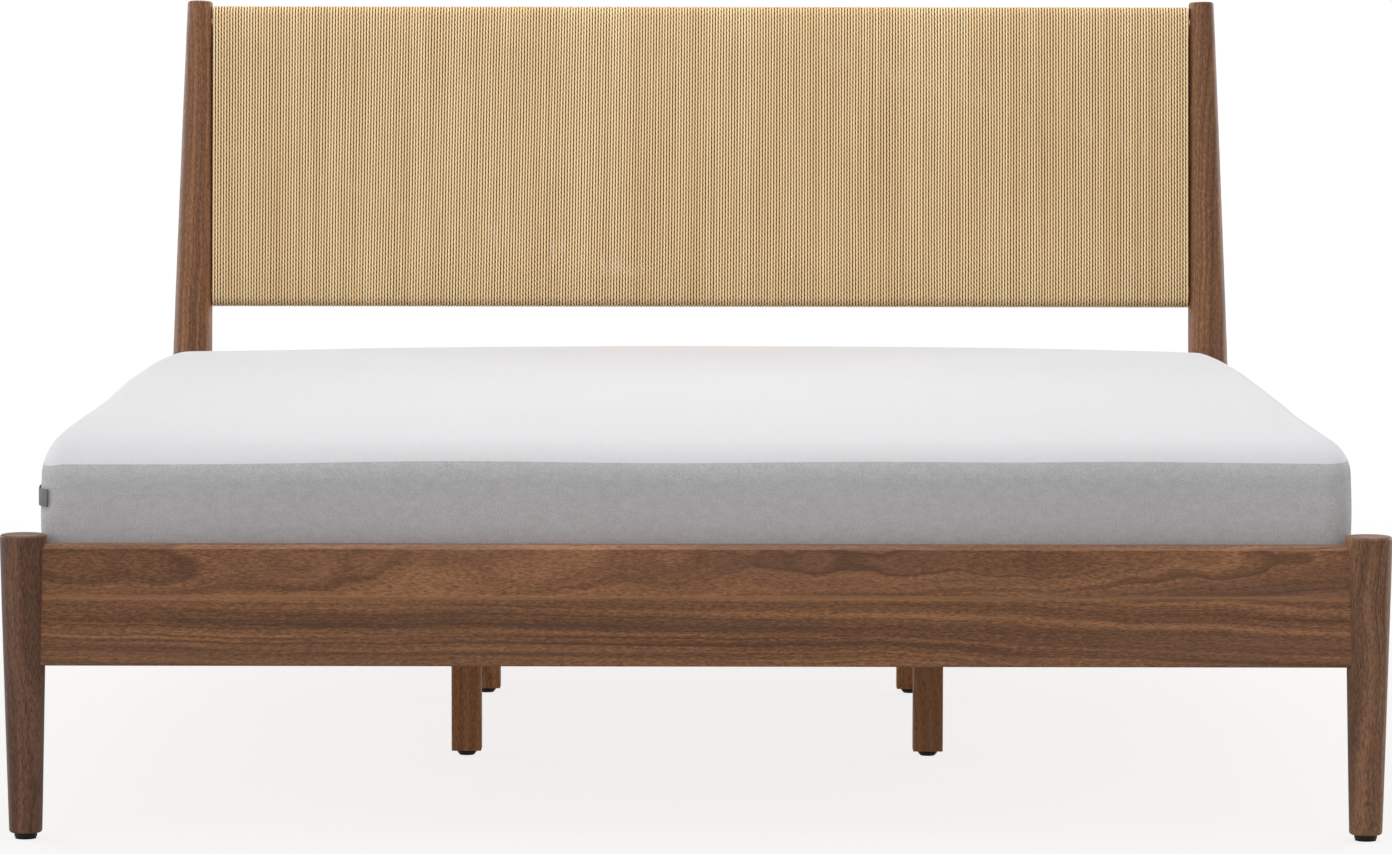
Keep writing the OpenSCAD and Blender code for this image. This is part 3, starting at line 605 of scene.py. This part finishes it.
def band(path: Array, side: Array, size: tuple[float, float], steps: int = 3) -> Shape:
    """A flat band along a path, with its lengths in metres as UV.

    Args:
        path: its middle line.
        side: level unit vectors across the path.
        size: its section's size along side and along Z.
        steps: faces round each edge.
    """
    radius = min(size) * 0.45
    angles = math.pi / 2 * (np.arange(4)[:, None] + np.linspace(0.0, 1.0, steps + 1))
    signs = np.array([[1, 1], [-1, 1], [-1, -1], [1, -1]])[:, None]
    arcs = radius * np.stack([np.cos(angles), np.sin(angles)], -1)
    profile = (signs * (np.array(size) / 2 - radius) + arcs).reshape(-1, 2)
    lengths = way_along(path), way_along(np.concatenate([profile, profile[:1]]))
    lift = np.tile([0.0, 0.0, 1.0], (len(path), 1))
    return sweep(path, (side, lift), profile, np.ones(len(path)), lengths)


def piece(name: str, shape: Shape, finishes: Iterable[Material]) -> Object:
    """Puts a shape into the scene, at the origin, smooth shaded, its faces outward.

    Args:
        name: the piece's name.
        shape: its vertices and faces.
        finishes: its materials, in the order of the shape's parts.
    """
    shape = shape.turned_out()
    mesh = bpy.data.meshes.new(name)
    faces = [face for block in shape.faces for face in block.tolist()]
    mesh.from_pydata(shape.vertices.tolist(), [], faces)
    if shape.corners:
        places = np.concatenate([block.ravel() for block in shape.corners])
        mesh.uv_layers.new(name="UVMap").data.foreach_set("uv", places.astype(np.float32))
    if shape.parts is not None:
        mesh.polygons.foreach_set("material_index", shape.parts.astype(np.int32))
    mesh.polygons.foreach_set("use_smooth", np.ones(len(faces), bool))
    for finish in finishes:
        mesh.materials.append(finish)
    mesh.update()
    made = bpy.data.objects.new(name, mesh)
    bpy.context.scene.collection.objects.link(made)
    return made


def dress(nodes: dict[str, Object], names: Iterable[str], finish: Finish) -> None:
    """Gives those of the frame's nodes that are named a finish."""
    made = finish.material()
    for name in names:
        node = nodes[name]
        node.data.materials.clear()
        node.data.materials.append(made)
    LOG.info("%s: %s", finish.name, ", ".join(names))


# ---- woodwork and hardware


@dataclass
class Woodwork:
    """Posts, rails, legs, bearers, slats and the panel's hidden rails, as CAD made them."""

    nodes: dict[str, Object]

    def rails(self) -> None:
        """Dresses the rails, each glued from two boards of its own."""
        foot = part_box("foot_rail")[0].y
        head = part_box("head_rail")[1].y
        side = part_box("side_rail_right")[1].x
        low = {"wander": 0.04, "waves": 0.005}
        foot_board = Board(foot + 0.06, 0.322, 1.3, 0.02, 0.05, swell=0.005)
        foot_low = Board(foot + 0.03, 0.12, wander=0.045, waves=0.006, swell=0.004)
        head_board = Board(head - 0.06, 0.33, 5.1, wander=0.05)
        left_board = Board(-side + 0.05, 0.32, 9.4, wander=0.05)
        right_board = Board(side - 0.05, 0.325, 14.2, wander=0.05)
        for name, grain, board, lower in (
            ("foot_rail", Grain.X, foot_board, foot_low),
            ("head_rail", Grain.X, head_board, Board(head - 0.03, 0.12, **low)),
            ("side_rail_left", Grain.Y, left_board, Board(-side + 0.03, 0.13, **low)),
            ("side_rail_right", Grain.Y, right_board, Board(side - 0.03, 0.11, **low)),
        ):
            dress(self.nodes, [name], Timber("walnut_" + name, WALNUT, grain, board, lower))

    def posts(self) -> None:
        """Dresses the posts, each turned from its own board. The foot posts get darker copies of the
        walnut as painted shade, the left one darker and greyer than the right.
        """
        ends = [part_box(name) for name in ("foot_post_left", "head_post_left")]
        (foot_x, foot_y), (head_x, head_y) = (((a.x + b.x) / 2, (a.y + b.y) / 2) for a, b in ends)
        # Painted shade: the foot posts' walnut is scaled darker, the left one most, for the light they
        # lack.
        grey, brown = {"tint": (0.54, 0.57, 0.72), "line_share": 0.5}, {"tint": (0.77, 0.84, 0.96)}
        turned = {"wander": 0.02, "swell": 0.003}
        for name, board, own in (
            ("foot_post_left", Board(foot_x - 0.05, foot_y + 0.045, 2.2), grey),
            ("foot_post_right", Board(-foot_x + 0.07, foot_y + 0.02, 6.7, wander=0.02), brown),
            ("head_post_left", Board(head_x - 0.1, head_y + 0.02, 11.9, **turned), {}),
            ("head_post_right", Board(-head_x + 0.12, head_y - 0.03, 17.3, **turned), {}),
        ):
            timber = Timber("walnut_" + name, WALNUT, Grain.Z, board, **own)
            dress(self.nodes, [name], timber)

    def hidden(self) -> None:
        """Dresses what the mattress and the winding hide, and the legs below."""
        first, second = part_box("slat_01"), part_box("slat_02")
        pitch = second[0].y - first[0].y
        row = {"pitch": pitch, "start": (first[0].y + first[1].y - pitch) / 2, "contrast": 0.8}
        planed = {"line_share": 0.6, "roughness": 0.6}
        dark = {"palette": DARK_WALNUT, "contrast": 0.8}
        # Painted light: the legs' dark walnut is made lighter than the bearers', for the shade under the
        # bed.
        lit = (1.15, 1.22, 1.1)
        leg = Timber("dark_leg", grain=Grain.Z, board=Board(0.0, -0.3, 3.3), tint=lit, **dark)
        bearer = Timber("dark_bearer", grain=Grain.Y, board=Board(0.02, 0.12, 7.7), **dark)
        slat_board = Board(0.01, 0.19, 0.6, waves=0.003)
        slat = Timber("pine_slat", PINE, Grain.X, slat_board, **row, **planed)
        ledge = Timber("pine_ledge", PINE, Grain.Y, Board(0.6, 0.16, 4.4), **planed)
        core = Timber("pine_core_rail", PINE, Grain.X, Board(1.0, 0.6, 8.1), roughness=0.6)
        brace = Timber("pine_brace", PINE, Grain.Z, Board(0.1, 0.9, 12.5), roughness=0.6)
        dowel = Timber("beech_dowel", BEECH, Grain.X, Board(-1.0, 0.2, 2.9), roughness=0.55)
        both = "left", "right"
        for stem, kinds, timber, slot in (
            ("support_leg", range(1, 5), leg, "walnut_dark"),
            ("centre_beam", both, bearer, "walnut_dark"),
            ("slat", [f"{n:02d}" for n in range(1, SLATS + 1)], slat, "slat_pine"),
            ("slat_ledge", both, ledge, "slat_pine"),
            ("headboard", ["top_rail", "bottom_rail"], core, "slat_pine"),
            ("headboard_brace", both, brace, "slat_pine"),
            ("rail", ["dowels"], dowel, "beech_dowel"),
        ):
            dress(self.nodes, [f"{stem}_{kind}" for kind in kinds], timber)


@dataclass
class Hardware:
    """Steel, nylon and felt pieces, as CAD made them."""

    nodes: dict[str, Object]

    def dress_all(self) -> None:
        """Gives each kind its finish."""
        steel = ["beam_hangers", "leveller_inserts", "support_leg_studs"]
        steel += [f"rail_{kind}" for kind in ("studs", "washers", "nuts")]
        steel += [f"{kind}_screws" for kind in ("ledge", "hanger", "slat")]
        dress(self.nodes, steel, PlatedSteel())
        nylon = [f"{kind}_{n}" for kind in ("leveller", "post_glide") for n in range(1, 5)]
        brown = Moulded("brown_nylon", tone(0.014, 0.009, 0.006), tone(0.032, 0.023, 0.018))
        dress(self.nodes, nylon, brown)
        dress(self.nodes, ["glide_felts"], Felt())


# ---- headboard


@dataclass
class CordPanel:
    """One cord wound turn beside turn round the panel's two rails.

    sway shakes each point, wander the turns together, and lean tilts those of the left half.
    """

    turns: int = 346
    rake: float = math.radians(5.5)
    bend_radius: float = 0.013
    cord_radius: float = 0.00212
    outer_bend: float = 0.0138
    lay: float = 0.0072
    sides: int = 8
    bend_steps: int = 6
    run_steps: int = 8
    sway: float = 0.0001
    uneven: float = 0.012
    waves: int = 9
    wander: float = 0.0002
    lean: float = 0.004
    lean_middle: float = -0.45
    lean_reach: float = 0.46
    end_reach: float = 0.001
    seed: int = 11

    def loop(self, run: float) -> tuple[Array, Array, Array]:
        """One turn in the panel's own plane: Y out of its back, Z up its slope.

        It starts behind the bottom rail, goes under it, up the front, over the top rail and
        down the back. The bends are half circles, and run is the distance of their centres.

        Returns:
            The turn's points, its outward directions, and the share of the step to the next
            turn that each point has made, which grows along the back alone.
        """
        half = np.linspace(0.0, math.pi, self.bend_steps + 1)[:-1]
        low = np.stack([np.cos(-half), np.sin(-half)], 1)
        high = np.stack([np.cos(math.pi - half), np.sin(math.pi - half)], 1)
        rising = np.linspace(0.0, 1.0, self.run_steps + 1)[:-1]
        front = np.tile([-1.0, 0.0], (self.run_steps, 1))
        out = np.concatenate([low, front, high, -front])
        bend = np.full(self.bend_steps, run / 2)
        height = np.concatenate([-bend, run * (rising - 0.5), bend, run * (0.5 - rising)])
        points = self.bend_radius * out
        points[:, 1] += height
        step = np.concatenate([np.zeros(len(out) - self.run_steps), rising])
        return points, out, step

    def wandering(self, x: Array, up: Array, random: np.random.Generator) -> Array:
        """How far the turns stray sideways together, fading to 0 at the panel's ends.

        It is a sum of sines over X and the slope, and a lean of the turns in the left half,
        which stand further left at the bottom than at the top.

        Args:
            x: the share of the panel's half width, from -1 to 1.
            up: the way up the slope.
            random: the source of the waves.
        """
        stray = np.zeros_like(x)
        for _ in range(self.waves):
            across, along, phase = random.uniform((8.0, -20.0, 0.0), (60.0, 20.0, TURN))
            stray += np.sin(across * x + along * up + phase)
        lean = self.lean * np.exp(-(((x - self.lean_middle) / self.lean_reach) ** 2)) * up / up.max()
        return (self.wander * stray / 2 + lean) * (1 - x**8)

    def raked(self, points: Array) -> tuple[Array, Array]:
        """Y and Z of points or directions in the panel's plane."""
        c, s = math.cos(self.rake), math.sin(self.rake)
        return points[:, 0] * c + points[:, 1] * s, -points[:, 0] * s + points[:, 1] * c

    def shape(self) -> Shape:
        """The cord as one tube, with its lays' number in U and its way round in V."""
        low, high = (np.array(corner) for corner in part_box("cord_winding"))
        half_w = (high[0] - low[0]) / 2 + self.end_reach
        middle = (low + high) / 2
        run = (high[2] - low[2] - 2 * self.outer_bend) / math.cos(self.rake)
        pitch = 2 * half_w / self.turns
        points, out, step = self.loop(run)
        number = np.arange(self.turns)[:, None]
        advance = np.minimum(number + step[None], self.turns - 1).ravel()
        place = np.tile(points, (self.turns, 1))
        random = np.random.default_rng(self.seed)
        shake = random.normal(0.0, self.sway, advance.shape)
        shake = np.convolve(shake, np.full(3, 1 / 3), "same")
        x = middle[0] - half_w + pitch * (advance + 0.5) + shake
        x += self.wandering((x - middle[0]) / half_w, place[:, 1], random)
        y, z = self.raked(place)
        path = np.stack([x, middle[1] + y, middle[2] + z], 1)
        side = np.stack([np.zeros_like(x), *self.raked(np.tile(out, (self.turns, 1)))], 1)
        ahead = np.gradient(path, axis=0)
        ahead /= np.linalg.norm(ahead, axis=1)[:, None]
        lift = np.cross(ahead, side)
        lift /= np.linalg.norm(lift, axis=1)[:, None]
        angles = np.linspace(0.0, TURN, self.sides + 1)[:-1]
        ring = np.stack([np.cos(angles), np.sin(angles)], 1)
        thick = self.cord_radius * (1 + random.normal(0.0, self.uneven, len(path)))
        way = way_along(path)
        LOG.info("cord: %.1f m in %d turns", way[-1], self.turns)
        lengths = way / self.lay, np.arange(self.sides + 1) / self.sides
        return sweep(path, (side, lift), ring, thick, lengths)

    def build(self) -> None:
        """Winds the cord."""
        made = piece("paper_cord_winding", self.shape(), [PaperCord().material()])
        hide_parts("cord_winding")
        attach(made, "frame")
        LOG.info("winding: %d faces", len(made.data.polygons))


# ---- mattress


@dataclass
class Mattress:
    """A foam mattress in a knitted cover, with a handle strap at its left front corner.

    The cover falls at both ends, droops at the head, and is slack on its left side, where it
    lies higher and leans out. Each hump of the foot edge has a height, a place and a reach.
    """

    foot_corner_r: float = 0.03
    head_corner_r: float = 0.062
    edge_r: float = 0.024
    low_edge_r: float = 0.01
    spacing: float = 0.015
    fine_spacing: float = 0.0025
    fine_reach: float = 0.03
    rise: float = 0.0012
    crown: float = 0.002
    head_droop: float = 0.0138
    fall: float = 0.011
    fall_reach: float = 0.03
    waves: int = 14
    wave_rates: tuple[float, float] = (5.0, 22.0)
    wave_slope: float = 0.003
    foot_reach: float = 0.12
    foot_ripple: float = 0.0011
    humps: tuple[tuple[float, float, float], ...] = ((0.0032, 0.5, 0.12), (-0.0025, -0.75, 0.2))
    bulge: float = 0.0015
    bulge_end: float = 0.62
    left_lift: float = 0.0065
    left_reach: float = 0.05
    head_lift: float = 0.004
    lean_start: float = -0.3
    lean_reach: float = 0.25
    left_lean: float = 0.01
    lean_end: float = 0.46
    border_drop: float = 0.0108
    slack_drop: float = 0.004
    border_row: int = 6
    roll_steps: int = 14
    side_steps: int = 16
    low_edge_steps: int = 4
    seed: int = 5
    strap_up: float = 0.141
    strap_w: float = 0.0205
    strap_t: float = 0.0017
    strap_gap: float = 0.0004
    strap_run: float = 0.095
    strap_slack: float = 0.003
    strap_end: float = 0.016

    def __post_init__(self) -> None:
        """Takes the CAD solid's corners, and its half sizes and its middle from above."""
        self.low, self.high = (np.array(corner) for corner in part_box("mattress"))
        self.half = (self.high - self.low)[:2] / 2
        self.middle = ((self.low + self.high) / 2)[:2]

    def lean(self, y: Array) -> Array:
        """How far along the left side the slack cover leans out: 0 at the foot, 1 at the head."""
        return 0.5 + 0.5 * np.tanh((y - self.lean_start) / self.lean_reach)

    def stations(self, half: float) -> Array:
        """Places from one edge to the other: fine near the edges, wide between."""
        fine = np.arange(0.0, self.fine_reach, self.fine_spacing)
        inner = half - self.fine_reach
        wide = np.linspace(-inner, inner, round(2 * inner / self.spacing) + 1)
        return np.concatenate([-half + fine, wide, (half - fine)[::-1]])

    def rounded(self, points: Array, half: Array) -> tuple[Array, Array]:
        """Rounds the corners of nested rectangles.

        The corner radius of a point's ring is the outer one less the point's inset. Within a
        radius of a corner, a point d along its side goes to 45 degrees x (1 - d / radius).

        Args:
            points: offsets from the rectangle's middle.
            half: the rectangle's half sizes.

        Returns:
            The moved points and each one's outward direction.
        """
        sign = np.where(points < 0, -1.0, 1.0)
        corner = np.where(points[:, 1] < 0, self.foot_corner_r, self.head_corner_r) - self.edge_r
        gaps = half - np.abs(points)
        inset = gaps.min(1)
        r = np.maximum(corner - inset, 1e-6)
        along = np.abs(gaps[:, 0] - gaps[:, 1])
        turn = math.pi / 4 * np.clip(1 - along / r, 0, 1)
        angle = np.where(gaps[:, 0] <= gaps[:, 1], turn, math.pi / 2 - turn)
        out = np.stack([np.cos(angle), np.sin(angle)], 1)
        arc = half - inset[:, None] - r[:, None] + r[:, None] * out
        moved = np.where((along < r)[:, None], arc, np.abs(points))
        return moved * sign, out * sign

    def top(self, flat: Array, half: Array) -> Array:
        """The height of the top.

        It has a crown, droops to the head, falls off exponentially at both ends, lies higher
        along the left side, and has soft waves, of which the foot edge has its own.

        Args:
            flat: offsets from the mattress's middle.
            half: half sizes of the top inside its roll.
        """
        x, y = flat.T
        u, v = x / half[0], y / half[1]
        to_end = np.maximum(half[1] - np.abs(y), 0.0)
        height = float(self.high[2]) + self.rise + self.crown * (1 - np.abs(u) ** 2.5)
        corner = 0.25 * u**2 + 0.5 * u**4 + 0.4 * np.clip(-u, 0, 1) ** 2
        head = np.clip(v, 0, 1)
        height -= self.head_droop * head**4 * (1 + corner) + self.fall * np.exp(-to_end / self.fall_reach)
        left = np.clip(-u, 0, 1) ** 3 * (1 - np.exp(-to_end / self.left_reach)) * (1 - head)
        height += left * (self.left_lift + self.head_lift * self.lean(y))
        random = np.random.default_rng(self.seed)
        for _ in range(self.waves):
            turn = random.uniform(0, math.pi)
            rate = random.uniform(*self.wave_rates)
            phase = random.uniform(0, TURN)
            wave = np.sin(rate * (x * math.cos(turn) + y * math.sin(turn)) + phase)
            height += self.wave_slope / rate * wave * (1 - v**4)
        ripple = self.foot_ripple * np.sin(12.6 * x + 5.1)
        for rise, place, reach in self.humps:
            ripple += rise * np.exp(-(((x - place) / reach) ** 2))
        return height + ripple * np.exp(-(((y + half[1]) / self.foot_reach) ** 2))

    def shape(self) -> Shape:
        """The closed cover: a grid on top, one below, and rows down the sides between them.

        The roll is an arc that takes up the top's slope and ends upright. The left side leans
        out above the rail. The lower edge is rounded. The border's knit begins at border_row,
        which lies border_drop below the roll's start, and slack_drop lower on the left side.
        """
        floor = self.low[2]
        half = self.half - self.edge_r
        xs, ys = self.stations(half[0]), self.stations(half[1])
        gx, gy = np.meshgrid(xs, ys, indexing="ij")
        flat, out = self.rounded(np.stack([gx.ravel(), gy.ravel()], 1), half)
        nx, ny = len(xs), len(ys)
        index = np.arange(nx * ny).reshape(nx, ny)
        rim = np.concatenate([index[:-1, 0], index[-1, :-1], index[:0:-1, -1], index[0, :0:-1]])
        lifted = self.top(flat, half)
        top = np.column_stack([flat + self.middle, lifted])
        out_by = self.left_lean * self.lean(flat[:, 1]) * np.clip(-flat[:, 0] / half[0], 0, 1) ** 6
        top[:, 0] -= out_by
        base, away, rim_z, leaning = flat[rim], out[rim], lifted[rim], out_by[rim]

        def ring(offset: Any, height: Any, lean: Any) -> Array:
            """The points of a row: offset outward from the rim, and leaning to the left."""
            across = base + away * np.reshape(offset, (-1, 1)) + self.middle
            across[:, 0] -= lean
            return np.column_stack([across, np.broadcast_to(height, len(rim))])

        first = np.arctan(self.fall / self.fall_reach * np.abs(away[:, 1]))
        radius = self.edge_r / (1 - np.sin(first))
        drop = self.border_drop + self.slack_drop * np.clip(-2 * away[:, 0] - 0.6, 0, 1)
        border = np.arccos(np.cos(first) - drop / radius)
        side = []
        for row in range(1, self.roll_steps + 1):
            above = min(row / self.border_row, 1.0)
            below = max(row - self.border_row, 0) / (self.roll_steps - self.border_row)
            angle = first + (border - first) * above + (math.pi / 2 - border) * below
            start = rim_z - radius * (np.cos(first) - np.cos(angle))
            side.append(ring(radius * (np.sin(angle) - np.sin(first)), start, leaning))
        stop = floor + self.low_edge_r
        for t in np.linspace(0, 1, self.side_steps + 1)[1:]:
            swell = self.bulge * np.abs(away[:, 0]) * math.sin(math.pi * min(t / self.bulge_end, 1.0))
            lean = leaning * math.cos(math.pi / 2 * min(t / self.lean_end, 1.0)) ** 2
            side.append(ring(self.edge_r + swell, start + (stop - start) * t, lean))
        for a in np.linspace(0, math.pi / 2, self.low_edge_steps + 1)[1:]:
            offset = self.edge_r - self.low_edge_r * (1 - math.cos(a))
            side.append(ring(offset, stop - self.low_edge_r * math.sin(a), 0.0))
        bottom = np.column_stack([flat + self.middle, np.full(len(flat), floor)])
        vertices = np.concatenate([top, *side, bottom])
        columns, rows = len(rim), len(side)
        first_bottom = len(top) + rows * columns
        ladder = np.concatenate([rim, np.arange(len(top), first_bottom), first_bottom + rim])
        grid = grid_faces(nx, ny, False)
        sides = ladder[grid_faces(rows + 2, columns, True)]
        faces = [grid[:, ::-1], sides[:, ::-1], grid + first_bottom]
        lower = (np.arange(1, rows) >= self.border_row).repeat(columns)
        parts = np.concatenate([np.zeros(len(grid) + columns), lower, np.ones(columns + len(grid))])
        return Shape(vertices, faces, parts=parts)

    def strap(self) -> Shape:
        """The handle strap: a flat band round the left front corner, slack along the side.

        Its path keeps a gap from the side, which grows where the strap is slack. Both ends
        lie flat for the stitches.
        """
        r = self.foot_corner_r
        angles = np.radians(np.linspace(50.0, 0.0, 18))
        corner = r - self.half
        arc_out = -np.stack([np.cos(angles), np.sin(angles)], 1)
        run = np.linspace(0.0, self.strap_run, 30)[1:]
        line = np.stack([np.full_like(run, -self.half[0]), corner[1] + run], 1)
        flat = np.concatenate([corner + r * arc_out, line]) + self.middle
        out = np.concatenate([arc_out, np.tile([-1.0, 0.0], (len(run), 1))])
        way = way_along(flat)
        share = np.clip((way - self.strap_end) / (way[-1] - 2 * self.strap_end), 0, 1)
        slack = self.strap_slack * np.sin(math.pi * share) ** 2
        off = self.bulge + self.strap_gap + self.strap_t / 2 + slack
        height = np.full(len(flat), self.low[2] + self.strap_up)
        path = np.column_stack([flat + out * off[:, None], height])
        return band(path, np.column_stack([out, 0.0 * off]), (self.strap_t, self.strap_w))

    def build(self) -> Object:
        """Makes the mattress, which it returns, and its strap."""
        white = Knit("white_knit", tone(0.86, 0.86, 0.875), tone(0.78, 0.78, 0.8), 0.35)
        grey = Knit("heathered_knit", tone(0.65, 0.645, 0.66), tone(0.49, 0.485, 0.495), 1.0)
        pad = piece("mattress_foam", self.shape(), [white.material(), grey.material()])
        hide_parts("mattress")
        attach(pad, "mattress")
        webbing = Webbing("grey_webbing", tone(0.34, 0.335, 0.325), tone(0.16, 0.157, 0.15))
        strap = piece("handle_strap", self.strap(), [webbing.material()])
        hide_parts("mattress_strap")
        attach(strap, "mattress")
        LOG.info("mattress: %d faces, strap: %d", len(pad.data.polygons), len(strap.data.polygons))
        return pad


@dataclass
class SlatTapes:
    """Two webbing tapes over the slats, which sag a little between them."""

    thickness: float = 0.001
    sag: float = 0.004
    steps: int = 10

    def hang(self, y: Array) -> Array:
        """How far the tape hangs below the slats' tops at each y: a sine squared in each gap."""
        fall = np.zeros_like(y)
        for n in range(1, SLATS):
            start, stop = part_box(f"slat_{n:02d}")[1].y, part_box(f"slat_{n + 1:02d}")[0].y
            share = np.clip((y - start) / (stop - start), 0, 1)
            fall += self.sag * np.sin(math.pi * share) ** 2
        return fall

    def build(self) -> None:
        """Lays both tapes."""
        finish = Webbing("black_webbing", tone(0.06, 0.06, 0.062), tone(0.018, 0.018, 0.019)).material()
        for node in ("slat_tape_left", "slat_tape_right"):
            low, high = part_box(node)
            y = np.linspace(low.y, high.y, SLATS * self.steps)
            x = np.full_like(y, (low.x + high.x) / 2)
            path = np.stack([x, y, (low.z + high.z) / 2 - self.hang(y)], 1)
            side = np.tile([1.0, 0.0, 0.0], (len(y), 1))
            shape = band(path, side, (high.x - low.x, self.thickness))
            tape = piece(node.replace("slat_", "webbing_"), shape, [finish])
            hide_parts(node)
            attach(tape, "frame")


# ---- studio


@dataclass
class Studio:
    """The pale floor, the soft light and the camera. None of it belongs to the bed."""

    lens: float = 144.05
    eye: tuple[float, float, float] = (0.0187, -7.4776, 0.9882)
    pitch: float = math.radians(4.526)
    yaw: float = math.radians(-0.167)
    roll: float = math.radians(0.074)
    ambient: float = 0.38
    gloss: float = 0.85
    floor_reach: float = 60.0

    def stand(self, name: str, data: Any, *columns: Sequence[float]) -> Object:
        """Puts a camera or a lamp into the scene, by its three axes and its place."""
        made = bpy.data.objects.new(name, data)
        bpy.context.scene.collection.objects.link(made)
        turned = np.identity(4)
        turned[:3] = np.column_stack(columns)
        made.matrix_world = Matrix(turned.tolist())
        return made

    def camera(self) -> None:
        """Stands the camera where the photograph was taken.

        The view is turned by yaw towards +X, tipped down by pitch, and rolled.
        """
        right = np.array([math.cos(self.yaw), -math.sin(self.yaw), 0.0])
        level = np.array([math.sin(self.yaw), math.cos(self.yaw), 0.0])
        up = np.array([0.0, 0.0, 1.0])
        back = up * math.sin(self.pitch) - level * math.cos(self.pitch)
        above = up * math.cos(self.pitch) + level * math.sin(self.pitch)
        x_axis = right * math.cos(self.roll) + above * math.sin(self.roll)
        y_axis = above * math.cos(self.roll) - right * math.sin(self.roll)
        data = bpy.data.cameras.new("camera")
        data.lens = self.lens
        data.sensor_width = 36.0
        data.sensor_fit = "HORIZONTAL"
        data.clip_end = 500.0
        bpy.context.scene.camera = self.stand("camera", data, x_axis, y_axis, back, self.eye)

    def world(self) -> None:
        """A white room: white to the camera, an even glow to surfaces, brighter in gloss."""
        room = bpy.data.worlds.new("room")
        room.use_nodes = True
        bpy.context.scene.world = room
        g = Graph(room.node_tree)
        rays = g.node("LightPath").outputs
        glow = self.ambient + Value(g, rays["Is Camera Ray"]) * (SEEN_WHITE - self.ambient)
        glow = glow + Value(g, rays["Is Glossy Ray"]) * (self.gloss - self.ambient)
        g.node("OutputWorld", {"Surface": g.node("Background", {"Color": WHITE, "Strength": glow})})

    def floor(self) -> Object:
        """A wide pale floor on which the camera sees faint shadows only, and white far behind."""
        s = Surface("pale_floor")

        def paper(colour: Colour, glow: Colour, strength: float) -> bpy.types.Node:
            """A sheet of a colour that also glows."""
            lit = s.node("Emission", {"Color": glow, "Strength": strength})
            return s.node("AddShader", {0: s.node("BsdfDiffuse", {"Color": colour}), 1: lit})

        near = paper(tone(0.36, 0.355, 0.345), WHITE, 0.8)
        white = s.node("Emission", {"Color": WHITE, "Strength": SEEN_WHITE})
        shown = s.node("MixShader", {0: s.axes[1].rise(1.2, 4.0), 1: near, 2: white})
        plain = paper(tone(0.55, 0.54, 0.53), tone(1.0, 0.99, 0.97), 0.27)
        seen = s.node("LightPath").outputs["Is Camera Ray"]
        s.node("OutputMaterial", {"Surface": s.node("MixShader", {0: seen, 1: plain, 2: shown})})
        corners = np.array([[-1, -1, 0], [1, -1, 0], [1, 1, 0], [-1, 1, 0]], float) * self.floor_reach
        made = piece("floor", Shape(corners, [np.array([[0, 1, 2, 3]])]), [s.material])
        return made

    def lamp(
        self,
        name: str,
        kind: str,
        towards: Sequence[float],
        unlit: Sequence[Object] = (),
        place: Sequence[float] = (0.0, 0.0, 0.0),
        **settings: Any,
    ) -> None:
        """Hangs a lamp.

        Args:
            name: its name.
            kind: SUN or AREA.
            towards: the direction from the bed to it.
            unlit: the objects that it doesn't light.
            place: where it hangs, which doesn't matter for a sun.
            settings: its light's properties.
        """
        light = bpy.data.lights.new(name, kind)
        for setting, value in settings.items():
            setattr(light, setting, value)
        back = np.array(towards) / np.linalg.norm(towards)
        side = np.cross([0.0, 1.0, 0.0], back)
        side /= np.linalg.norm(side)
        lamp = self.stand(name, light, side, np.cross(back, side), back, place)
        if unlit:
            links = bpy.data.collections.new("lit_by_" + name)
            for thing in unlit:
                links.objects.link(thing)
            lamp.light_linking.receiver_collection = links
            for link in links.collection_objects:
                link.light_linking.link_state = "EXCLUDE"

    def build(self, spared: Sequence[Object]) -> None:
        """Sets up the studio, sparing some objects the headboard panel's own lamp."""
        self.camera()
        self.world()
        floor = self.floor()
        over, panel = (0.0, 0.15, 2.9), (0.0, -0.6, 2.7)
        box = {"shape": "RECTANGLE", "size": 2.6}
        self.lamp("softbox", "AREA", (0.0, 0.0, 1.0), [floor], over, energy=32.0, size_y=2.8, **box)
        lit = {"energy": 29.5, "size_y": 2.0, **box}
        self.lamp("headboard_softbox", "AREA", (0.0, -1.5, 2.2), [floor, *spared], panel, **lit)
        for name, towards, energy, spread, unlit in (
            ("left_back", (-1.0, 0.85, 0.16), 1.15, 30.0, []),
            ("right_back", (1.0, 0.85, 0.16), 1.25, 30.0, []),
            ("left", (-1.0, -0.18, 0.22), 0.7, 35.0, [floor]),
            ("front", (0.12, -1.0, 0.95), 0.76, 50.0, [floor]),
        ):
            self.lamp(name, "SUN", towards, unlit, energy=energy, angle=math.radians(spread))
        bpy.context.scene.view_settings.view_transform = "Standard"


def main() -> None:
    """Builds the bed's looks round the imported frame."""
    logging.basicConfig(level=logging.INFO, format="%(message)s")
    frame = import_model()
    nodes = frame["nodes"]
    wood = Woodwork(nodes)
    wood.rails()
    wood.posts()
    wood.hidden()
    Hardware(nodes).dress_all()
    CordPanel().build()
    mattress = Mattress().build()
    SlatTapes().build()
    Studio().build([mattress, nodes["head_post_left"], nodes["head_post_right"]])


if __name__ == "__main__":
    main()
